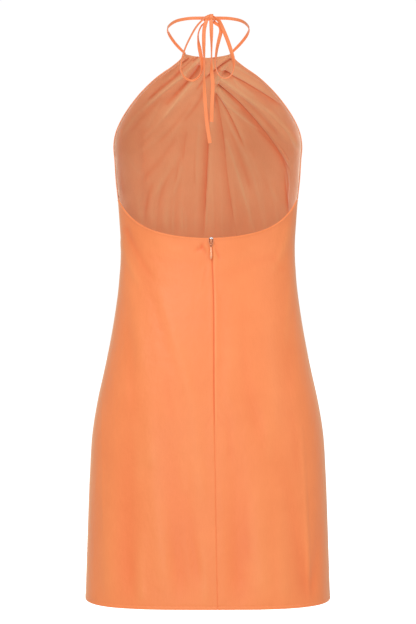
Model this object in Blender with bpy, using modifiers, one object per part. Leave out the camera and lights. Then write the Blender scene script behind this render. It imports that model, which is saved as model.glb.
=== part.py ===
"""A backless halter mini dress, filled out as it is worn, with no wearer.

Metres, +Z up. The wearer's front faces -Y and the wearer's left side is +X. The origin is at the nape,
where the neck ties bear on the back of the neck, so the dress hangs below it. The cloth is made as
walls of even thickness: one front, which reaches from the neckline to the hem, and two back panels,
which meet at a zip in the centre back seam. Two ties go round the neck to a bow.
"""

import math
from collections import namedtuple

import bmesh
import bpy
import numpy as np
from mathutils import Matrix, Vector

OBJECT_NAME = "halter_dress"
MM = 0.001
X_AXIS, Z_AXIS = 0, 2

# Driving dimensions. Heights are measured down from the nape.
SEAM_Y = -52 * MM  # the plane of the side seams, in front of the nape
HEM_Z = -910 * MM
UNDERARM_Z = -277 * MM
CLOTH = 1.2 * MM  # thickness of a panel's wall
SEAM_GAP = 0.4 * MM  # between two panels that are sewn together
LAY_GAP = 0.6 * MM  # between a panel and what lies on it

# The closed section of the dress below the underarms. half_width runs from the middle to the side
# seam, front and back from the side seams' plane to the middle of the panel. squareness is the
# exponent of the superellipse: 2 is an ellipse, and more is nearer to a rounded rectangle.
Section = namedtuple("Section", "z half_width front back squareness")
SECTIONS = [
    Section(-277, 144.2, 104, 84, 2.2),
    Section(-315, 141.3, 97, 80, 2.2),
    Section(-353, 139.1, 93, 79, 2.3),
    Section(-409, 141.4, 95, 87, 2.4),
    Section(-457, 147.2, 98, 98, 2.5),
    Section(-505, 155.1, 101, 109, 2.6),
    Section(-553, 165.3, 103, 118, 2.7),
    Section(-601, 176.0, 106, 125, 2.8),
    Section(-649, 184.0, 109, 127, 2.9),
    Section(-713, 188.1, 112, 128, 3.0),
    Section(-793, 191.2, 116, 129, 3.1),
    Section(-910, 195.1, 121, 130, 3.3),
]

# The front alone, above the underarms. Its two edges are the armholes: side_y is how far they lie
# in front of the side seams' plane.
Bodice = namedtuple("Bodice", "z half_width side_y front squareness")
BODICE = [
    Bodice(-36, 38.5, 61, 70, 1.4),
    Bodice(-46, 46.0, 63, 74, 1.5),
    Bodice(-56, 58.5, 65, 80, 1.7),
    Bodice(-70, 79.0, 66, 89, 1.9),
    Bodice(-95, 105.8, 62, 103, 2.1),
    Bodice(-121, 126.2, 55, 115, 2.3),
    Bodice(-147, 141.2, 43, 122, 2.4),
    Bodice(-173, 150.3, 30, 126, 2.4),
    Bodice(-192, 152.3, 22, 126, 2.4),
    Bodice(-215, 150.2, 14, 121, 2.4),
    Bodice(-248, 147.6, 5, 111, 2.3),
    Bodice(-277, 144.2, 0, 104, 2.2),
]

SCOOP_RISE = 66 * MM  # from the middle of the open back to the underarm
SCOOP_Z = -345 * MM

# The centre back seam hangs a little towards the wearer's right.
SeamPoint = namedtuple("SeamPoint", "z x")
CENTRE_BACK = [
    SeamPoint(-345, -5.0),
    SeamPoint(-410, -8.0),
    SeamPoint(-600, -9.5),
    SeamPoint(-720, -11.5),
    SeamPoint(-820, -13.0),
    SeamPoint(-910, -15.0),
]

# A fold is a soft trough or ridge on a curve through three points of the panel, seen from the back.
# rise is how far it stands towards the inside of the dress at its first and last point, and reach
# is how far it spreads to each side.
Fold = namedtuple("Fold", "x0 z0 x1 z1 x2 z2 rise_start rise_end reach")
FRONT_FOLDS = [
    # Pleats that fan out of the slanting seam, towards the wearer's right side.
    Fold(-37, -42, -12, -57, 2, -69, -3.0, -1.0, 5),
    Fold(-27, -61, -68, -78, -125, -119, -4.5, -1.5, 6),
    Fold(-18, -81, -68, -131, -134, -214, -4.0, -2.5, 7),
    Fold(-13, -97, -38, -142, -63, -187, -3.5, -1.5, 7),
    Fold(-16, -107, -31, -202, -48, -327, -3.0, -2.0, 8),
    Fold(-121, -201, -126, -252, -132, -297, -1.5, -2.5, 7),
    Fold(-19, -73, -78, -110, -146, -194, 4.0, 3.0, 7),
    Fold(-43, -66, -92, -98, -138, -150, 3.5, 2.0, 6),
    Fold(-18, -94, -46, -122, -92, -168, 3.5, 1.5, 6),
    Fold(-24, -112, -52, -170, -92, -240, 3.0, 1.5, 9),
    Fold(-31, -176, -46, -224, -72, -307, 2.0, 2.0, 8),
    # The middle, and the gathers of the wearer's left side.
    Fold(-3, -160, 2, -220, 5, -329, -2.0, -2.0, 6),
    Fold(12, -57, 41, -87, 97, -125, -5.0, -1.0, 7),
    Fold(40, -44, 79, -82, 137, -156, -3.0, -2.0, 5),
    Fold(57, -70, 97, -102, 144, -176, 2.5, 1.5, 6),
    Fold(23, -79, 45, -102, 89, -146, 3.5, 1.5, 7),
    Fold(36, -167, 41, -204, 57, -307, -2.0, -1.5, 8),
    Fold(19, -150, 20, -200, 21, -250, 1.5, 1.0, 8),
    Fold(108, -160, 104, -220, 96, -300, -1.5, -1.5, 9),
    # Soft flutes of the skirt.
    Fold(92, -430, 106, -600, 118, -900, -1.0, -4.5, 20),
    Fold(38, -470, 46, -650, 52, -900, 0.8, 3.5, 18),
    Fold(-8, -520, -12, -680, -14, -900, -0.6, -3.5, 17),
    Fold(-58, -440, -66, -620, -78, -900, 0.8, 4.0, 19),
    Fold(-112, -460, -124, -640, -132, -900, -0.8, -4.0, 18),
]
BACK_FOLDS = [
    Fold(122, -400, 112, -470, 98, -550, -2.2, -1.0, 13),
    Fold(66, -418, 48, -470, 28, -530, -1.8, -0.8, 12),
    Fold(96, -420, 84, -480, 66, -560, 1.5, 0.8, 12),
    Fold(74, -640, 76, -760, 72, -900, -1.0, -4.0, 18),
    Fold(118, -600, 126, -740, 130, -900, 1.0, 4.0, 18),
    Fold(26, -660, 30, -780, 34, -900, 0.8, 3.5, 17),
    Fold(-58, -640, -62, -770, -66, -900, -0.8, -3.5, 18),
    Fold(-100, -470, -104, -540, -104, -620, -1.8, -1.0, 13),
    Fold(-98, -660, -102, -780, -106, -900, 0.8, 3.0, 16),
    Fold(-138, -700, -142, -800, -142, -900, -1.0, -3.5, 12),
    Fold(-70, -400, -60, -450, -48, -520, 1.5, 0.8, 13),
]
FOLD_SAMPLES = 48
EDGE_FADE = 9 * MM  # a fold dies away this near to a side edge

# The slanting seam of the front, into which the pleats are sewn. The wearer's left side of it
# stands inwards over the other side.
SEAM_LINE = [(-37, -42), (-27, -60), (-16, -77), (-12, -92), (-12, -106)]
SEAM_STEP = 3.0 * MM
SEAM_STEP_REACH = 16 * MM
SEAM_STEP_SLOPE = 2.2 * MM

# The neck ties and the bow are one flat bias tube, pressed.
TIE_WIDTH = 5.4 * MM
TIE_THICKNESS = 1.6 * MM
TIE_STEP = 6 * MM
NECK_AXIS_Y = -50 * MM  # the middle of the neck
TIE_SEAT = 0.5 * MM  # from a tie's end to the neckline's corner

# Routes of the ties, in millimetres: x, y, z. They run from the bow's knot.
NECK_TIE_LEFT = [
    (5.4, 3.2, -0.6),
    (26, 2.0, -0.6),
    (40.5, -4, -1.4),
    (50.5, -12, -2.6),
    (59.5, -27, -5.1),
    (64.5, -47, -8.1),
    (61.5, -70, -14.0),
    (52.0, -94, -24.0),
]
NECK_TIE_RIGHT = [
    (-10.8, 3.2, -0.6),
    (-31, 1.5, -0.6),
    (-48.5, -7, -1.7),
    (-58.5, -20, -3.6),
    (-65.0, -39, -6.6),
    (-65.9, -55, -9.0),
    (-61.9, -74, -15.0),
    (-52.3, -94, -24.0),
]
BOW_LOOP_LEFT = [
    (5.4, 9.2, -1.8),
    (16.6, 9.2, -13.5),
    (26.2, 9.2, -29.4),
    (35.7, 9.0, -49.7),
    (41.8, 8.6, -71.6),
    (42.2, 8.4, -83.0),
    (36.5, 8.0, -93.6),
    (26.0, 7.6, -99.0),
    (16.4, 7.2, -95.2),
    (10.2, 6.8, -86.0),
    (8.6, 6.6, -74.0),
    (10.7, 6.4, -60.0),
    (14.4, 6.4, -40.0),
    (14.9, 6.4, -26.0),
    (10.6, 6.4, -14.4),
    (5.6, 6.4, -9.4),
    (2.8, 6.4, -6.4),
]
BOW_LOOP_RIGHT = [
    (-10.8, 9.2, -1.2),
    (-17.8, 9.2, -6.4),
    (-22.8, 9.2, -17.0),
    (-29.1, 9.2, -31.9),
    (-35.9, 9.0, -51.3),
    (-40.2, 8.6, -67.5),
    (-39.8, 8.3, -82.0),
    (-35.0, 8.0, -91.8),
    (-27.5, 7.7, -95.2),
    (-19.6, 7.3, -92.4),
    (-14.2, 6.9, -84.6),
    (-12.0, 6.6, -72.0),
    (-13.9, 6.4, -51.3),
    (-17.4, 6.4, -35.0),
    (-20.4, 6.4, -22.0),
    (-18.6, 6.4, -13.8),
    (-13.0, 6.4, -9.8),
    (-8.4, 6.4, -6.4),
]
TIE_END_LEFT = [
    (2.4, 11.3, -6.4),
    (5.8, 11.6, -21.6),
    (6.2, 12.2, -46.6),
    (5.3, 12.0, -68.0),
    (5.7, 12.0, -98.0),
    (4.8, 12.2, -123.0),
    (2.1, 12.4, -159.0),
    (-3.3, 12.6, -197.0),
]
TIE_END_RIGHT = [
    (-5.2, 11.3, -6.4),
    (-5.7, 12.2, -27.0),
    (-5.8, 12.4, -56.0),
    (-5.6, 12.2, -72.0),
    (-6.4, 12.0, -90.0),
    (-7.8, 12.2, -106.0),
    (-6.6, 12.4, -135.0),
    (-6.0, 12.4, -164.0),
]

KNOT_CENTRE = Vector((-2.7, 7.4, -0.8)) * MM
KNOT_SIZE = Vector((15.6, 14.0, 10.6)) * MM
KNOT_ROUND = 2.2 * MM

# The zip: a tape inside the centre back seam, a slider at its top and a pull that hangs from it.
ZIP_BOTTOM_Z = -626 * MM
ZIP_TAPE_HALF = 11 * MM
ZIP_TAPE_THICKNESS = 1.0 * MM
ZIP_TAPE_DROP = 2 * MM  # from the panels' top edge to the tape's end
SLIDER_SPAN = 36 * MM  # the stretch of the panel that slider and pull lie along
SLIDER_WIDTH = 6.0 * MM
SLIDER_LENGTH = 10.0 * MM
SLIDER_THICKNESS = 1.2 * MM
SLIDER_LIFT = 0.5 * MM  # from the cloth to the slider
SLIDER_ROUND = 0.4 * MM
BRIDGE_WIDTH = 1.6 * MM
BRIDGE_HALF = 3.2 * MM
BRIDGE_TOP = 2.1 * MM  # over the pull's axis
BRIDGE_WALL = 1.0 * MM
BRIDGE_LEG = 1.4 * MM
PIVOT_DOWN = 6.0 * MM  # from the slider's top to the pull's axis
PIVOT_OUT = 2.8 * MM  # from the cloth to the pull's axis
PULL_THICKNESS = 1.2 * MM
PULL_EYE_HALF = 1.35 * MM
PULL_EYE_END = 4.5 * MM
PULL_ROUND_STEPS = 8

# Half widths of the pull along its length, from its axis.
PullStation = namedtuple("PullStation", "down half_width")
PULL_OUTLINE = [
    PullStation(-0.6, 2.3),
    PullStation(4.4, 2.4),
    PullStation(6.6, 1.7),
    PullStation(9.0, 1.5),
    PullStation(14.0, 1.8),
    PullStation(19.0, 2.3),
    PullStation(24.0, 2.6),
]
PULL_TIP_CENTRE = 25.4 * MM
PULL_TIP_RADIUS = 2.6 * MM

# How finely each wall is divided. The front's rows of faces lie along its pleats: each runs from
# its height in the middle to its height at the two side edges.
FRONT_COLUMNS = 42
FrontRow = namedtuple("FrontRow", "middle_z edge_z rows_to_next")
FRONT_ROWS = [
    FrontRow(-41, -36, 5),
    FrontRow(-54, -82, 9),
    FrontRow(-86, -172, 12),
    FrontRow(-168, -252, 15),
    FrontRow(-353, -353, 12),
    FrontRow(-910, -910, 0),
]
ROW_BEND = 1.4  # 1 is a row with two straight halves
BACK_COLUMNS = 14
BACK_ROWS = 26
TAPE_COLUMNS = 4
TAPE_ROWS = 14
ARC_SAMPLES = 240

SATIN = (0.93, 0.31, 0.13)
ENAMEL = (0.80, 0.24, 0.09)
STEEL = (0.62, 0.62, 0.63)


def clear_scene():
    for obj in list(bpy.data.objects):
        bpy.data.objects.remove(obj, do_unlink=True)


def make_collection(name):
    collection = bpy.data.collections.new(name)
    bpy.context.scene.collection.children.link(collection)
    return collection


def make_material(name, colour, roughness, metallic=0.0):
    material = bpy.data.materials.new(name)
    material.use_nodes = True
    shader = material.node_tree.nodes["Principled BSDF"]
    shader.inputs["Base Color"].default_value = (*colour, 1.0)
    shader.inputs["Roughness"].default_value = roughness
    shader.inputs["Metallic"].default_value = metallic
    return material


def value_at(rows, column, z):
    """A column of a table at height z, on a smooth curve through the table's rows."""
    ordered = sorted(rows, key=lambda row: row.z)
    heights = np.array([row.z for row in ordered]) * MM
    values = np.array([getattr(row, column) for row in ordered], float)
    slopes = np.gradient(values, heights)
    z = min(max(z, heights[0]), heights[-1])
    i = min(int(np.searchsorted(heights, z, side="right")) - 1, len(heights) - 2)
    span = heights[i + 1] - heights[i]
    t = (z - heights[i]) / span
    return (
        (2 * t**3 - 3 * t**2 + 1) * values[i]
        + (t**3 - 2 * t**2 + t) * span * slopes[i]
        + (3 * t**2 - 2 * t**3) * values[i + 1]
        + (t**3 - t**2) * span * slopes[i + 1]
    )


class Arc:
    """Half of a superellipse in plan, measured along its length from its +X end to its -X end."""

    def __init__(self, half_width, side_y, depth, squareness, facing):
        angles = np.linspace(0, math.pi, ARC_SAMPLES)
        power = 2 / squareness
        self.x = half_width * np.sign(np.cos(angles)) * np.abs(np.cos(angles)) ** power
        start = side_y + facing * SEAM_GAP / 2
        self.y = start + facing * depth * np.sin(angles).clip(0) ** power
        steps = np.hypot(np.diff(self.x), np.diff(self.y))
        length = np.concatenate([[0], np.cumsum(steps)])
        self.length = length[-1]
        self.fraction = length / length[-1]

    def at(self, fraction):
        return (
            float(np.interp(fraction, self.fraction, self.x)),
            float(np.interp(fraction, self.fraction, self.y)),
        )

    def fraction_at(self, x):
        return float(np.interp(-x, -self.x, self.fraction))


def front_arc(z):
    if z >= UNDERARM_Z:
        half_width, side_y, front, squareness = (
            value_at(BODICE, column, z)
            for column in ("half_width", "side_y", "front", "squareness")
        )
    else:
        side_y = 0.0
        half_width, front, squareness = (
            value_at(SECTIONS, column, z) for column in ("half_width", "front", "squareness")
        )
    edge_y = SEAM_Y - side_y * MM
    return Arc(half_width * MM, edge_y, (front - side_y) * MM, squareness, -1)


def back_arc(z):
    half_width, back, squareness = (
        value_at(SECTIONS, column, z) for column in ("half_width", "back", "squareness")
    )
    return Arc(half_width * MM, SEAM_Y, back * MM, squareness, 1)


def centre_back_x(z):
    return value_at(CENTRE_BACK, "x", z) * MM


def scoop_z(x):
    """The top edge of the open back: low and nearly level in the middle, steep at the sides."""
    out = abs(x) / (SECTIONS[0].half_width * MM)
    return SCOOP_Z + SCOOP_RISE * min(1.0, 0.48 * out**2 + 0.52 * out**6)


def fold_rise(folds, x, z):
    """How far each point stands inwards because of the folds."""
    t = np.linspace(0, 1, FOLD_SAMPLES)[:, None, None]
    rise = np.zeros_like(x)
    for fold in folds:
        # The quadratic curve that passes the middle point halfway.
        turn_x = 2 * fold.x1 - (fold.x0 + fold.x2) / 2
        turn_z = 2 * fold.z1 - (fold.z0 + fold.z2) / 2
        curve_x = ((1 - t) ** 2 * fold.x0 + 2 * t * (1 - t) * turn_x + t**2 * fold.x2) * MM
        curve_z = ((1 - t) ** 2 * fold.z0 + 2 * t * (1 - t) * turn_z + t**2 * fold.z2) * MM
        distance = np.hypot(x[None] - curve_x, z[None] - curve_z)
        nearest = distance.argmin(axis=0)
        along = nearest / (FOLD_SAMPLES - 1)
        height = fold.rise_start + (fold.rise_end - fold.rise_start) * along
        rise += height * MM * np.exp(-((distance.min(axis=0) / (fold.reach * MM)) ** 2))
    return rise


def seam_rise(x, z):
    """The step at the slanting seam, which dies away to each side and past its two ends."""
    line = np.array(SEAM_LINE, float) * MM
    best = np.full(x.shape, np.inf)
    side = np.zeros_like(x)
    for (x0, z0), (x1, z1) in zip(line[:-1], line[1:]):
        run = np.array([x1 - x0, z1 - z0])
        t = (((x - x0) * run[0] + (z - z0) * run[1]) / (run @ run)).clip(0, 1)
        distance = np.hypot(x - x0 - t * run[0], z - z0 - t * run[1])
        cross = run[0] * (z - z0) - run[1] * (x - x0)
        nearer = distance < best
        best = np.where(nearer, distance, best)
        side = np.where(nearer, np.sign(cross), side)
    step = np.tanh(side * best / SEAM_STEP_SLOPE)
    return SEAM_STEP * step * np.exp(-((best / SEAM_STEP_REACH) ** 2))


def wall_normals(points):
    """Unit normals of a grid of points, which point out of the dress."""
    across = np.gradient(points, axis=1)
    up = np.gradient(points, axis=0)
    normal = np.cross(across, up)
    return normal / np.linalg.norm(normal, axis=2, keepdims=True)


def edge_fade(points):
    """0 on the two side edges of a grid of points and 1 away from them."""
    steps = np.linalg.norm(np.diff(points, axis=1), axis=2)
    start = np.zeros((len(points), 1))
    along = np.concatenate([start, np.cumsum(steps, axis=1)], axis=1)
    near = np.minimum(along, along[:, -1:] - along)
    return 1 - np.exp(-((near / EDGE_FADE) ** 2))


def front_row_heights():
    """The height in the middle and at the side edges of each of the front's rows, from the hem up."""
    heights = []
    for row, below in zip(FRONT_ROWS[:-1], FRONT_ROWS[1:]):
        for step in range(row.rows_to_next):
            t = step / row.rows_to_next
            middle = row.middle_z + (below.middle_z - row.middle_z) * t
            heights.append((middle, row.edge_z + (below.edge_z - row.edge_z) * t))
    heights.append((FRONT_ROWS[-1].middle_z, FRONT_ROWS[-1].edge_z))
    return heights[::-1]


def front_points():
    """The front's outer surface: rows from the hem up, columns from the wearer's right to the left."""
    heights = front_row_heights()
    fractions = np.linspace(1, 0, FRONT_COLUMNS + 1)
    points = np.zeros((len(heights), len(fractions), 3))
    for row, (middle_z, edge_z) in enumerate(heights):
        for column, fraction in enumerate(fractions):
            outwards = abs(2 * fraction - 1) ** ROW_BEND
            z = (middle_z + (edge_z - middle_z) * outwards) * MM
            points[row, column] = *front_arc(z).at(fraction), z
    rise = fold_rise(FRONT_FOLDS, points[..., 0], points[..., 2])
    rise += seam_rise(points[..., 0], points[..., 2])
    rise *= edge_fade(points)
    return points - wall_normals(points) * rise[..., None]


def back_rise(points):
    return fold_rise(BACK_FOLDS, points[..., 0], points[..., 2])


def back_points(left):
    """The outer surface of one back panel: rows from the hem up, columns towards the wearer's right."""
    points = np.zeros((BACK_ROWS + 1, BACK_COLUMNS + 1, 3))
    for column in range(BACK_COLUMNS + 1):
        across = column / BACK_COLUMNS

        def place(z):
            arc = back_arc(z)
            inner_edge = centre_back_x(z) + SEAM_GAP / 2 * (1 if left else -1)
            seam = arc.fraction_at(inner_edge)
            return arc.at(seam * across if left else seam + (1 - seam) * across)

        top = SCOOP_Z
        for _ in range(20):
            top = scoop_z(place(top)[0])
        for row in range(BACK_ROWS + 1):
            z = HEM_Z + (top - HEM_Z) * row / BACK_ROWS
            points[row, column] = *place(z), z
    rise = back_rise(points) * edge_fade(points)
    return points - wall_normals(points) * rise[..., None]


def back_surface(x, z):
    """The outer surface of the back at x and z, near the middle, where the folds are faint."""
    arc = back_arc(z)
    return np.array([x, arc.at(arc.fraction_at(x))[1], z])


def tape_points():
    """The zip's tape lies against the inside of both back panels."""
    top_z = SCOOP_Z - ZIP_TAPE_DROP
    points = np.zeros((TAPE_ROWS + 1, TAPE_COLUMNS + 1, 3))
    for row in range(TAPE_ROWS + 1):
        z = ZIP_BOTTOM_Z + (top_z - ZIP_BOTTOM_Z) * row / TAPE_ROWS
        for column in range(TAPE_COLUMNS + 1):
            across = ZIP_TAPE_HALF * (1 - 2 * column / TAPE_COLUMNS)
            points[row, column] = back_surface(centre_back_x(z) + across, z)
    rise = back_rise(points) + CLOTH + LAY_GAP
    return points - wall_normals(points) * rise[..., None]


def make_wall(name, points, thickness, material, collection):
    """A wall whose outer surface passes through a grid of points."""
    rows, columns = points.shape[0] - 1, points.shape[1] - 1
    mesh = bpy.data.meshes.new(name)
    grid = bmesh.new()
    bmesh.ops.create_grid(grid, x_segments=columns, y_segments=rows, size=1)
    for vertex in grid.verts:
        column = round((vertex.co.x + 1) / 2 * columns)
        row = round((vertex.co.y + 1) / 2 * rows)
        vertex.co = points[row, column]
    grid.to_mesh(mesh)
    grid.free()
    mesh.shade_smooth()
    wall = bpy.data.objects.new(name, mesh)
    wall.data.materials.append(material)
    collection.objects.link(wall)
    solidify = wall.modifiers.new("cloth", "SOLIDIFY")
    solidify.thickness = thickness
    solidify.offset = -1
    solidify.use_even_offset = True
    return wall


def smooth_route(route):
    """Points at even steps along a smooth curve through a route's own points."""
    knots = np.array(route, float) * MM
    ends = [2 * knots[0] - knots[1]], [2 * knots[-1] - knots[-2]]
    knots = np.concatenate([ends[0], knots, ends[1]])
    fine = []
    for a, b, c, d in zip(knots[:-3], knots[1:-2], knots[2:-1], knots[3:]):
        for t in np.linspace(0, 1, 16, endpoint=False):
            fine.append(
                0.5 * (2 * b + (c - a) * t + (2 * a - 5 * b + 4 * c - d) * t**2 + (3 * b - a - 3 * c + d) * t**3)
            )
    fine = np.array(fine + [knots[-2]])
    length = np.concatenate([[0], np.cumsum(np.linalg.norm(np.diff(fine, axis=0), axis=1))])
    count = max(2, round(length[-1] / TIE_STEP))
    even = np.linspace(0, length[-1], count + 1)
    return np.stack([np.interp(even, length, fine[:, axis]) for axis in range(3)], axis=1)


def cut_end(row, middle, tangent, axis):
    """Slides the points of a tie's end along it, to lie level with its middle on one axis."""
    run = tangent / tangent[axis]
    row += run * (middle[axis] - row[:, axis : axis + 1])


def make_tie(name, route, facing, start_cut, end_cut, collection):
    """A flat tie along a route. facing gives the direction that its face has at a point.

    A cut is the axis that an end is level on, to lie against what carries it, or None.
    """
    middle = smooth_route(route)
    tangents = np.gradient(middle, axis=0)
    points = np.zeros((len(middle), 3, 3))
    for row, (point, tangent) in enumerate(zip(middle, tangents)):
        face = np.array(facing(point), float)
        across = np.cross(face, tangent)
        across /= np.linalg.norm(across)
        out = np.cross(tangent, across)
        out /= np.linalg.norm(out)
        for column in range(3):
            points[row, column] = point + out * TIE_THICKNESS / 2 - across * TIE_WIDTH * (column - 1) / 2
    if start_cut is not None:
        cut_end(points[0], middle[0], tangents[0], start_cut)
    if end_cut is not None:
        cut_end(points[-1], middle[-1], tangents[-1], end_cut)
    satin = make_material(name + "_satin", SATIN, 0.45)
    return make_wall(name, points, TIE_THICKNESS, satin, collection)


def away_from_neck(point):
    return point[0], point[1] - NECK_AXIS_Y, 0.0


def to_the_back(_):
    return 0.0, 1.0, 0.0


def neckline_corner(points, left):
    """The middle of a tie's end, over the corner of the neckline that carries it."""
    return points[-1, -2 if left else 1] + np.array([0, CLOTH / 2, TIE_SEAT])


def make_knot(material, collection):
    """The bow's knot: a soft block of wrapped tie."""
    half = KNOT_SIZE / 2
    frame = Matrix.Translation(KNOT_CENTRE)
    knot = link_mesh("bow_knot", box_form(-half, half), frame, material, collection)
    soften = knot.modifiers.new("soften", "BEVEL")
    soften.width = KNOT_ROUND
    soften.segments = 3
    return knot


def zip_frame():
    """Place and turn of the slider: its X is across, its Y runs down the cloth, its Z points out."""
    top_z = SCOOP_Z + 1 * MM
    top = Vector(back_surface(centre_back_x(top_z), top_z))
    low = Vector(back_surface(centre_back_x(top_z), top_z - SLIDER_SPAN))
    down = (low - top).normalized()
    across = Vector((1, 0, 0))
    out = across.cross(down)
    frame = Matrix((across, down, out)).transposed().to_4x4()
    frame.translation = top
    return frame


def link_mesh(name, form, frame, material, collection):
    mesh = bpy.data.meshes.new(name)
    bmesh.ops.recalc_face_normals(form, faces=form.faces[:])
    form.to_mesh(mesh)
    form.free()
    mesh.materials.append(material)
    obj = bpy.data.objects.new(name, mesh)
    obj.matrix_world = frame
    collection.objects.link(obj)
    return obj


def box_form(low, high):
    form = bmesh.new()
    bmesh.ops.create_cube(form, size=1)
    low, high = Vector(low), Vector(high)
    for vertex in form.verts:
        vertex.co = Vector(c * s for c, s in zip(vertex.co, high - low)) + (low + high) / 2
    return form


def add_boolean(obj, operation, other):
    other.hide_render = True
    other.display_type = "WIRE"
    cut = obj.modifiers.new(operation.lower(), "BOOLEAN")
    cut.operation = operation
    cut.object = other
    cut.solver = "EXACT"


def make_slider(frame, material, collection, helpers):
    """The slider's body, with the bridge that the pull hangs from."""
    half = SLIDER_WIDTH / 2
    plate = box_form(
        (-half, 0, SLIDER_LIFT), (half, SLIDER_LENGTH, SLIDER_LIFT + SLIDER_THICKNESS)
    )
    slider = link_mesh("zip_slider", plate, frame, material, collection)
    soften = slider.modifiers.new("soften", "BEVEL")
    soften.width = SLIDER_ROUND
    soften.segments = 2
    bridge = box_form(
        (-BRIDGE_WIDTH / 2, PIVOT_DOWN - BRIDGE_HALF, SLIDER_LIFT + SLIDER_THICKNESS / 2),
        (BRIDGE_WIDTH / 2, PIVOT_DOWN + BRIDGE_HALF, PIVOT_OUT + BRIDGE_TOP),
    )
    add_boolean(slider, "UNION", link_mesh("slider_bridge", bridge, frame, material, helpers))
    slot = box_form(
        (-SLIDER_WIDTH, PIVOT_DOWN - BRIDGE_HALF + BRIDGE_LEG, SLIDER_LIFT + SLIDER_THICKNESS),
        (SLIDER_WIDTH, PIVOT_DOWN + BRIDGE_HALF - BRIDGE_LEG, PIVOT_OUT + BRIDGE_TOP - BRIDGE_WALL),
    )
    add_boolean(slider, "DIFFERENCE", link_mesh("slider_slot", slot, frame, material, helpers))
    return slider


def pull_outline():
    """Half of the pull's outline, from its top to the end of its round tip."""
    half = [(row.half_width * MM, row.down * MM) for row in PULL_OUTLINE]
    for step in range(1, PULL_ROUND_STEPS):
        angle = math.pi / 2 * step / PULL_ROUND_STEPS
        down = PULL_TIP_CENTRE + PULL_TIP_RADIUS * math.sin(angle)
        half.append((PULL_TIP_RADIUS * math.cos(angle), down))
    return half


def make_pull(frame, material, collection, helpers):
    """The pull: a flat drop with an eye, whose upper bar lies in the bridge, on the pull's axis."""
    half = pull_outline()
    tip = [(0.0, PULL_TIP_CENTRE + PULL_TIP_RADIUS)]
    outline = half + tip + [(-x, y) for x, y in reversed(half)]
    form = bmesh.new()
    face = form.faces.new([form.verts.new((x, y, -PULL_THICKNESS / 2)) for x, y in outline])
    moved = bmesh.ops.extrude_face_region(form, geom=[face])["geom"]
    corners = [part for part in moved if isinstance(part, bmesh.types.BMVert)]
    bmesh.ops.translate(form, verts=corners, vec=(0, 0, PULL_THICKNESS))
    pivot = frame @ Matrix.Translation((0, PIVOT_DOWN, PIVOT_OUT))
    pull = link_mesh("zip_pull", form, pivot, material, collection)
    eye = box_form(
        (-PULL_EYE_HALF, PULL_THICKNESS / 2, -PULL_THICKNESS),
        (PULL_EYE_HALF, PULL_EYE_END, PULL_THICKNESS),
    )
    add_boolean(pull, "DIFFERENCE", link_mesh("pull_eye", eye, pivot, material, helpers))
    return pull


def main():
    clear_scene()
    parts = make_collection(OBJECT_NAME)
    helpers = make_collection("cutters")
    front = front_points()
    walls = {
        "front": (front, CLOTH),
        "back_left": (back_points(left=True), CLOTH),
        "back_right": (back_points(left=False), CLOTH),
        "zip_tape": (tape_points(), ZIP_TAPE_THICKNESS),
    }
    for name, (points, thickness) in walls.items():
        make_wall(name, points, thickness, make_material(name + "_satin", SATIN, 0.45), parts)

    for name, route, left in (
        ("neck_tie_left", NECK_TIE_LEFT, True),
        ("neck_tie_right", NECK_TIE_RIGHT, False),
    ):
        route = route + [tuple(neckline_corner(front, left) / MM)]
        make_tie(name, route, away_from_neck, X_AXIS, Z_AXIS, parts)
    for name, route, start_cut, end_cut in (
        ("bow_loop_left", BOW_LOOP_LEFT, X_AXIS, Z_AXIS),
        ("bow_loop_right", BOW_LOOP_RIGHT, X_AXIS, Z_AXIS),
        ("tie_end_left", TIE_END_LEFT, Z_AXIS, None),
        ("tie_end_right", TIE_END_RIGHT, Z_AXIS, None),
    ):
        make_tie(name, route, to_the_back, start_cut, end_cut, parts)
    make_knot(make_material("bow_knot_satin", SATIN, 0.45), parts)

    frame = zip_frame()
    make_slider(frame, make_material("zip_slider_steel", STEEL, 0.35, 1.0), parts, helpers)
    make_pull(frame, make_material("zip_pull_enamel", ENAMEL, 0.3), parts, helpers)


main()
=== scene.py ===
"""The looks of a backless halter mini dress in orange satin, filled out as it is worn, with no wearer.

Metres, +Z up, in the solids' frame: the wearer's front faces -Y, the wearer's left side is +X, and the
origin is at the nape. Lengths in the tables are in millimetres.
"""

import math
from collections import namedtuple

import bmesh
import bpy
import numpy as np
from mathutils import Matrix, Vector


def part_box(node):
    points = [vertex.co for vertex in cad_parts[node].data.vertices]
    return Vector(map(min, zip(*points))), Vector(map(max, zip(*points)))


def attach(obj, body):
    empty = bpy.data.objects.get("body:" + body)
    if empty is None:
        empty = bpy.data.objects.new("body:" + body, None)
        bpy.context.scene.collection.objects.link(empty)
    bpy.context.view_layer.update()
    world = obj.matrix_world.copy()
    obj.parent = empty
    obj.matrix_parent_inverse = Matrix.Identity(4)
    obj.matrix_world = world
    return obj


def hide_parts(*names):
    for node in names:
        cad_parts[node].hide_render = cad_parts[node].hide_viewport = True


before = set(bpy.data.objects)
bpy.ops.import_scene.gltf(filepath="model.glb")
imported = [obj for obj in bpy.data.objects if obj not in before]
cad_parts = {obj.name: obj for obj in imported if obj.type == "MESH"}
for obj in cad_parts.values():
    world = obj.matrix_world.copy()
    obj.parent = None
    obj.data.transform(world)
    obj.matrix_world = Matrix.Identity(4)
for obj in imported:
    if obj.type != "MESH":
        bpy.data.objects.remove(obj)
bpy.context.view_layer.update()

MM = 0.001

# --- Sizes that the scene shares with the solids ---
SEAM_Y = -52 * MM
HEM_Z = -910 * MM
UNDERARM_Z = -277 * MM
NECKLINE_Z = -36 * MM
CLOTH = 0.9 * MM
SEAM_GAP = 0.16 * MM
CENTRE_SEAM_GAP = 0.02 * MM

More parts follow.
